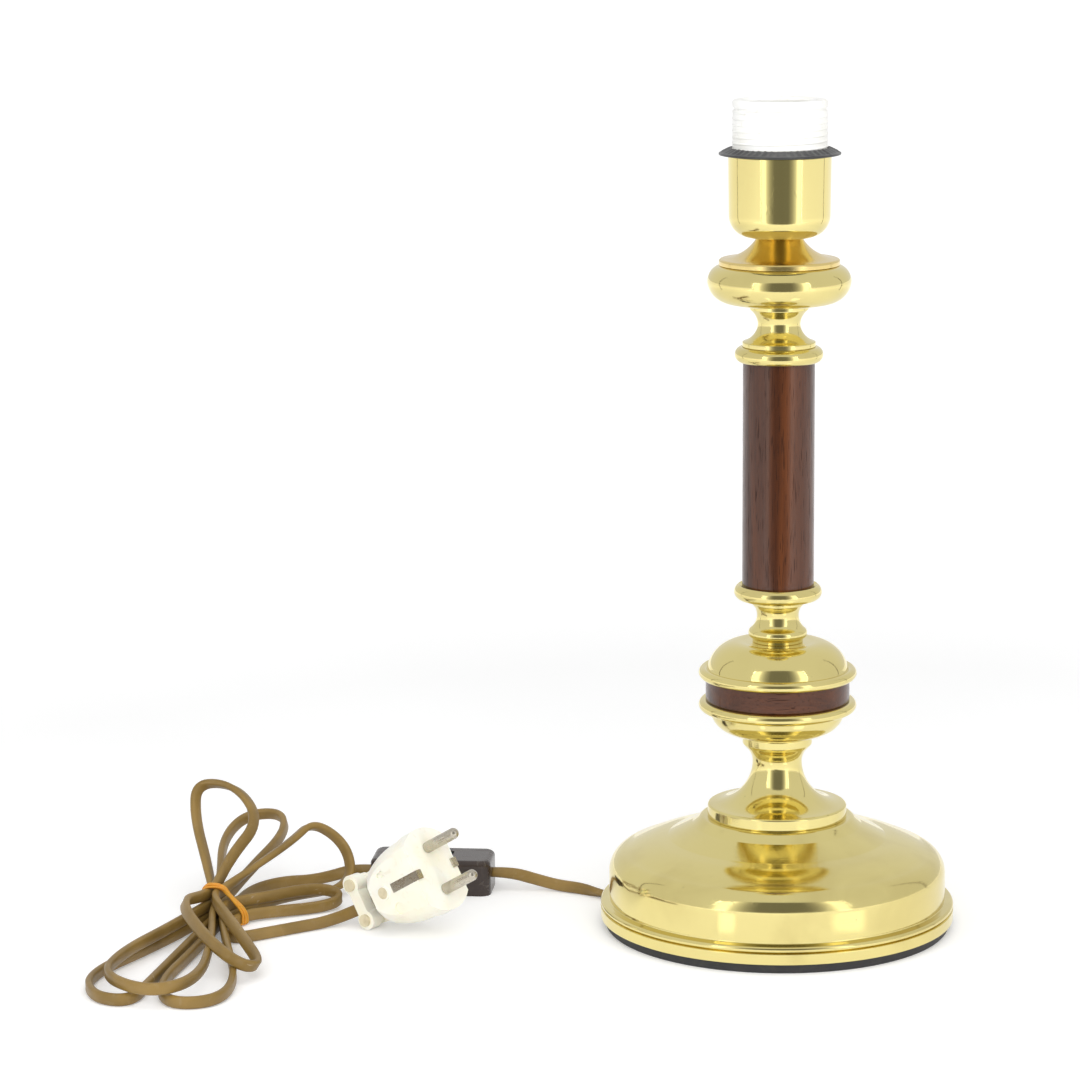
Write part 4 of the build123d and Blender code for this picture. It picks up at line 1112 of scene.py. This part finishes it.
@dataclass
class Tie:
    """The rubber band wound round the hank's waist.

    Attributes:
        cable: the cord that it holds.
        corners: each corner of the bundle, going round it once: its column, the room beside it in
            millimetres, its row and the room over it.
        turns: how many times it goes round.
        steps: how many places each turn has.
        first: the share of a turn at which it starts.
        spread: how far its turns wander along the strands, in millimetres.
        lift: how far it lies off the bundle.
        weave: how far its turns pass over and under each other.
        twist: how far its flat side turns out, for one along the strands.
        lean: how far its flat side keeps along the strands.
        width: its width.
        thick: its thickness.
    """

    cable: Cable
    corners: Sequence[tuple[float, float, int, float]] = (
        (-1.5, -1.6, 0, -2.6), (1.95, 1.6, 0, -2.6), (1.95, 1.6, 0, 2.6), (0.5, 2.2, 1, 2.8),
        (-0.5, 1.8, 2, 2.6), (-1.5, -1.6, 2, 2.6))
    turns: int = 5
    steps: int = 26
    first: float = 0.1
    spread: float = 2.6
    lift: float = 0.75
    weave: float = 0.55
    twist: float = 0.6
    lean: float = 0.3
    width: float = 1.7
    thick: float = 1.0

    def place(self, share: float) -> tuple[float, float, float, float]:
        """Gives a place on the bundle's skin and the way out from it, both across and up."""
        pitch, rise, low = self.cable.pitch, self.cable.rise, self.cable.low
        ring = [(column * pitch + beside, low + row * rise + over)
                for column, beside, row, over in self.corners]
        sides = [(start, end, math.dist(start, end)) for start, end in zip(ring, ring[1:] + ring[:1])]
        gone = share % 1.0 * sum(length for _, _, length in sides)
        for (x0, z0), (x1, z1), length in sides:
            if gone <= length:
                part = gone / length
                return x0 + (x1 - x0) * part, z0 + (z1 - z0) * part, (z1 - z0) / length, -(x1 - x0) / length
            gone -= length
        return (*ring[0], -1.0, 0.0)

    def build(self) -> None:
        """Winds the band as one closed run of crossing turns."""
        way, across = heading(self.cable.waist_turn), heading(self.cable.waist_turn - 90.0)
        count = self.turns * self.steps
        route = []
        for number in range(count + 1):
            share = number / count
            turn = math.tau * share
            x, z, out_x, out_z = self.place(share * self.turns + self.first)
            off = self.lift + self.weave * math.sin(turn * (self.turns + 2) + 1.0)
            along = self.spread * math.sin(turn * (self.turns - 1)) * math.cos(turn)
            spot = Vector(self.cable.waist) + across * (x + out_x * off) + UP * (z + out_z * off)
            half = turn * self.turns * 3 / 2
            wide = way * math.cos(half) + (across * out_x + UP * out_z) * (self.twist * math.sin(half))
            route.append((spot + way * along, wide + way * self.lean))
        mesh, _ = Ribbon(route, self.width, self.thick, dip=1.0).build()
        settle(mesh, "hank_band", RUBBER, Body.LAMP, ["hank_tie"])


@dataclass
class Cores:
    """The two insulated cores in the open back of the plug.

    Attributes:
        route: one core's places in the plug's own axes, in millimetres.
        size: a core's thickness.
    """

    route: Sequence[Point] = ((-39.5, 0.0, 1.15), (-34.5, 0.0, 1.15), (-29.0, -1.6, 3.15), (-22.9, -1.5, 6.9),
                              (-18.4, 0.0, 9.5), (-14.0, 0.0, 9.5))
    size: float = 2.0

    def build(self) -> None:
        """Builds both cores."""
        across = PLUG_UP.cross(PLUG_AHEAD)
        for name, node, side, finish in (("core_brown", "plug_wire_a", 1.0, WIRE_BROWN),
                                         ("core_blue", "plug_wire_b", -1.0, WIRE_BLUE)):
            route = [(PLUG + PLUG_AHEAD * x + across * y + PLUG_UP * z * side, across)
                     for x, y, z in self.route]
            mesh, _ = Ribbon(route, self.size, self.size, floor=False, dip=1.0).build()
            settle(mesh, name, finish, Body.LAMP, [node])


# The studio

MATT = {"Roughness": 0.9, "Specular_IOR_Level": 0.0}
DARK: Tint = (0.0, 0.0, 0.0)
LIGHT: Tint = (1.0, 1.0, 1.0)
WARM_LIGHT: Tint = (1.0, 1.0, 0.97)


@dataclass(frozen=True)
class SoftLamp:
    """One soft lamp that the camera doesn't see.

    Attributes:
        name: its name.
        place: where its middle is, in metres.
        aim: the place that it faces.
        size: its width and height.
        power: its power in watts.
        mirrored: whether bright metal mirrors it.
    """

    name: str
    place: Point
    aim: Point
    size: tuple[float, float]
    power: float
    mirrored: bool = False

    def add(self) -> None:
        """Adds the lamp."""
        data = bpy.data.lights.new(self.name, "AREA")
        data.shape = "RECTANGLE"
        data.size, data.size_y = self.size
        data.energy = self.power
        holder = bpy.data.objects.new(self.name, data)
        bpy.context.scene.collection.objects.link(holder)
        turn = (Vector(self.place) - Vector(self.aim)).to_track_quat("Z", "Y").to_matrix().to_4x4()
        turn.translation = Vector(self.place)
        holder.matrix_world = turn
        holder.visible_camera = False
        holder.visible_glossy = self.mirrored


@dataclass
class Studio:
    """A pale floor, soft light and the camera at the photograph's place.

    Attributes:
        eye: the camera's place in metres.
        pitch: how far it looks down, in degrees.
        roll: its turn about its own line of sight.
        lens: its focal length in millimetres.
        view_turn: how far to the left of the lamp's front it stands, in degrees.
        wall_r: the radius of the foot's wall, in metres.
        patch_size: the width and length of the bright wedges on the floor.
        patch_away: how far their middles are from the wall.
        card_stops: the front card's brightness, from its middle to its sides.
        lamps: the soft lamps.
    """

    eye: Point = (-0.09938, -1.551, 0.4624)
    pitch: float = 10.80
    roll: float = -0.43
    lens: float = 126.13
    view_turn: float = 3.7
    wall_r: float = 0.0711
    patch_size: tuple[float, float] = (0.110, 0.080)
    patch_away: float = 0.092
    card_stops: Sequence[tuple[float, float]] = ((0.0, 0.20), (0.14, 0.21), (0.22, 0.42), (0.31, 0.90),
                                                 (0.36, 1.7), (0.46, 1.7), (0.50, 0.95))
    lamps: Sequence[SoftLamp] = (
        SoftLamp("soft_top", (0.1, -0.4, 1.6), (0.0, 0.0, 0.1), (1.6, 1.6), 8.0),
        SoftLamp("soft_front", (0.0, -2.2, 1.2), (-0.05, 0.0, 0.15), (1.6, 1.2), 22.0),
        SoftLamp("strip_left", (-0.62, -0.70, 0.40), (-0.05, 0.0, 0.16), (0.16, 0.76), 1.6, True),
        SoftLamp("strip_right", (0.62, -0.70, 0.40), (-0.05, 0.0, 0.16), (0.16, 0.76), 1.6, True))

    def camera(self) -> None:
        """Adds the camera."""
        tilt, turn = math.radians(self.pitch), math.radians(self.roll)
        level, high = Vector((1.0, 0.0, 0.0)), Vector((0.0, math.sin(tilt), math.cos(tilt)))
        back = Vector((0.0, -math.cos(tilt), math.sin(tilt)))
        right = level * math.cos(turn) + high * math.sin(turn)
        up = high * math.cos(turn) - level * math.sin(turn)
        data = bpy.data.cameras.new("photo_camera")
        data.lens = self.lens
        data.sensor_width = 36.0
        data.clip_end = 20.0
        holder = bpy.data.objects.new("photo_camera", data)
        bpy.context.scene.collection.objects.link(holder)
        placed = Matrix((right, up, back)).transposed().to_4x4()
        placed.translation = Vector(self.eye)
        holder.matrix_world = placed
        bpy.context.scene.camera = holder

    @staticmethod
    def seen(graph: Graph) -> Value:
        """Adds a mask that is 1 for the camera's, mirrored and refracted rays."""
        rays = graph.add("ShaderNodeLightPath")
        mask = Value(graph, rays.outputs["Is Camera Ray"])
        for name in ("Is Glossy Ray", "Is Transmission Ray"):
            mask = graph.maths("MAXIMUM", mask, Value(graph, rays.outputs[name]))
        return mask

    def world(self) -> None:
        """Sets a soft white surround that metal sees in full and that lights the rest less."""
        world = bpy.data.worlds.new("studio")
        graph = Graph(world)
        level = graph.add("ShaderNodeMapRange",
                          values={"Value": self.seen(graph), "To Min": 0.70, "To Max": 1.0})
        glow = graph.add("ShaderNodeBackground",
                         values={"Color": (0.8, 0.8, 0.8), "Strength": level.outputs[0]})
        graph.add("ShaderNodeOutputWorld", values={"Surface": glow.outputs[0]})
        bpy.context.scene.world = world

    @staticmethod
    def sheet(name: str, middle: Point, size: tuple[float, float], facing: Point,
              spin: float = 0.0) -> tuple[bpy.types.Object, Graph]:
        """Adds one flat sheet of the studio.

        Args:
            name: its name.
            middle: its middle in metres.
            size: its width and height.
            facing: the way that it faces.
            spin: its own turn, in degrees.

        Returns:
            The object and its material's empty nodes.
        """
        mesh = bmesh.new()
        bmesh.ops.create_grid(mesh, x_segments=1, y_segments=1, size=0.5)
        bmesh.ops.scale(mesh, vec=(size[0], size[1], 1.0), verts=mesh.verts)
        turn = Vector(facing).to_track_quat("Z", "Y").to_matrix().to_4x4()
        turn = turn @ Matrix.Rotation(math.radians(spin), 4, "Z")
        bmesh.ops.transform(mesh, matrix=Matrix.Translation(middle) @ turn, verts=mesh.verts)
        data = bpy.data.meshes.new(name)
        mesh.to_mesh(data)
        mesh.free()
        material = bpy.data.materials.new(name)
        data.materials.append(material)
        piece = bpy.data.objects.new(name, data)
        bpy.context.scene.collection.objects.link(piece)
        return piece, Graph(material)

    def floor(self) -> None:
        """Adds a white floor that keeps the shadows near the lamp and is plain white far behind."""
        _, graph = self.sheet("studio_floor", (0.0, 0.0, 0.0), (30.0, 30.0), (0.0, 0.0, 1.0))
        distance = graph.add("ShaderNodeVectorMath", {"operation": "LENGTH"}, {0: graph.place})
        glow = graph.add("ShaderNodeMapRange", values={"Value": distance.outputs["Value"], "From Min": 0.5,
                                                       "From Max": 1.3, "To Min": 0.20, "To Max": 0.60})
        level = self.seen(graph) * Value(graph, glow.outputs[0])
        graph.finish(Base_Color=(0.90, 0.90, 0.90), Emission_Color=graph.blend(level, DARK, LIGHT),
                     Emission_Strength=1.0, **MATT)

    def card(self) -> bpy.types.Object:
        """Adds the front card that bright metal mirrors: a dim middle between two bright sides."""
        piece, graph = self.sheet("studio_card", (0.0, -0.50, 0.34), (1.02, 0.60), (0.0, 1.0, 0.0))
        away = graph.maths("ABSOLUTE", graph.axes()[0], 0.0)
        stops = [(at, tuple(Vector(WARM_LIGHT) * level)) for at, level in self.card_stops]
        ramp = graph.add("ShaderNodeValToRGB", {"stops": stops}, {0: away})
        graph.finish(Base_Color=DARK, Emission_Color=ramp.outputs[0], Emission_Strength=1.0, **MATT)
        return piece

    def edge(self, name: str, side: float) -> bpy.types.Object:
        """Adds a thin dark sheet at one side, which shows as a line near a turned piece's edge."""
        piece, graph = self.sheet(name, (side * 0.66, 0.26, 0.36), (0.02, 0.72), (-side, -0.4, 0.0))
        graph.finish(Base_Color=(0.18, 0.15, 0.11), **MATT)
        return piece

    def patch(self, name: str, turn: float, inner: float, outer: float) -> bpy.types.Object:
        """Adds a soft bright wedge on the floor, which the foot's wall mirrors as an upright band.

        Args:
            name: its name.
            turn: where on the wall its band shows, in degrees from the front.
            inner: the tangent of the angle where it starts to fade.
            outer: the tangent of the angle where it ends.

        Returns:
            The object.
        """
        mirrored = 2.0 * turn + self.view_turn
        ahead = heading(mirrored - 90.0)
        focus = heading(turn - 90.0) * self.wall_r - ahead * self.wall_r / 2.0
        middle = focus + ahead * (self.wall_r / 2.0 + self.patch_away)
        over_floor = 0.0005
        piece, graph = self.sheet(name, (middle.x, middle.y, over_floor), self.patch_size, (0.0, 0.0, 1.0),
                                  mirrored)
        x, y, _ = graph.axes()
        x, y = x - focus.x, y - focus.y
        off = graph.maths("ABSOLUTE", x * ahead.y - y * ahead.x, 0.0) / (x * ahead.x + y * ahead.y)
        graph.finish(Base_Color=DARK, Emission_Strength=1.7, Emission_Color=WARM_LIGHT,
                     Alpha=1.0 - off.above(inner, outer), **MATT)
        return piece

    def build(self) -> None:
        """Adds the floor, what brass mirrors, the lamps and the camera."""
        self.world()
        self.floor()
        for piece in (self.card(), self.edge("studio_edge_left", -1.0), self.edge("studio_edge_right", 1.0),
                      self.patch("studio_patch_left", -20.4, 0.06, 0.13),
                      self.patch("studio_patch_right", 21.0, 0.13, 0.27)):
            piece.visible_camera = False
            piece.visible_diffuse = False
            piece.visible_shadow = False
            piece.visible_transmission = False
        for lamp in self.lamps:
            lamp.add()
        bpy.context.scene.view_settings.view_transform = "Standard"
        self.camera()
        LOG.info("studio built")


# Finishes of the solids that stay


@dataclass
class Dressing:
    """The finishes of the CAD nodes that stay as they are."""

    finishes: Mapping[str, Finish] = field(default_factory=lambda: {
        "base_plate": BLACK_PAINT, "base_weight": CAST_IRON, "bottom_washer": ZINC, "bottom_nut": ZINC,
        "cord_grommet": GROMMET, "threaded_tube": ZINC, "cup_nut": BRASS_PLAIN, "holder_base": WHITE,
        "holder_core": PORCELAIN, "centre_contact": NICKEL,
        "terminal_block_a": BRASS_PLAIN, "terminal_block_b": BRASS_PLAIN,
        "terminal_screw_a": ZINC, "terminal_screw_b": ZINC, "switch_base": BROWN, "switch_cover": BROWN,
        "switch_rocker": ROCKER_BLACK, "switch_strip_a": BRASS_PLAIN, "switch_strip_b": BRASS_PLAIN,
        "case_screw_a": ZINC, "case_screw_b": ZINC, "plug_near": CREAM, "plug_far": CREAM,
        "plug_screw": DULL, "plug_pin_a": NICKEL, "plug_pin_b": NICKEL, "earth_strip_a": NICKEL,
        "earth_strip_b": NICKEL, "cord_clamp": CREAM, "clamp_screw_a": DULL, "clamp_screw_b": DULL,
        })

    def build(self) -> None:
        """Gives each node its finish."""
        for name, finish in self.finishes.items():
            finish.put_on(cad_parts[name])


def main() -> None:
    """Builds the studio and the lamp in order."""
    logging.basicConfig(level=logging.INFO, format="%(name)s %(message)s")
    Studio().build()
    cable = Cable()
    cable.build()
    Tie(cable).build()
    Cores().build()
    Foot().build()
    Stem().build()
    Lampholder().build()
    Dressing().build()


if __name__ == "__main__":
    main()
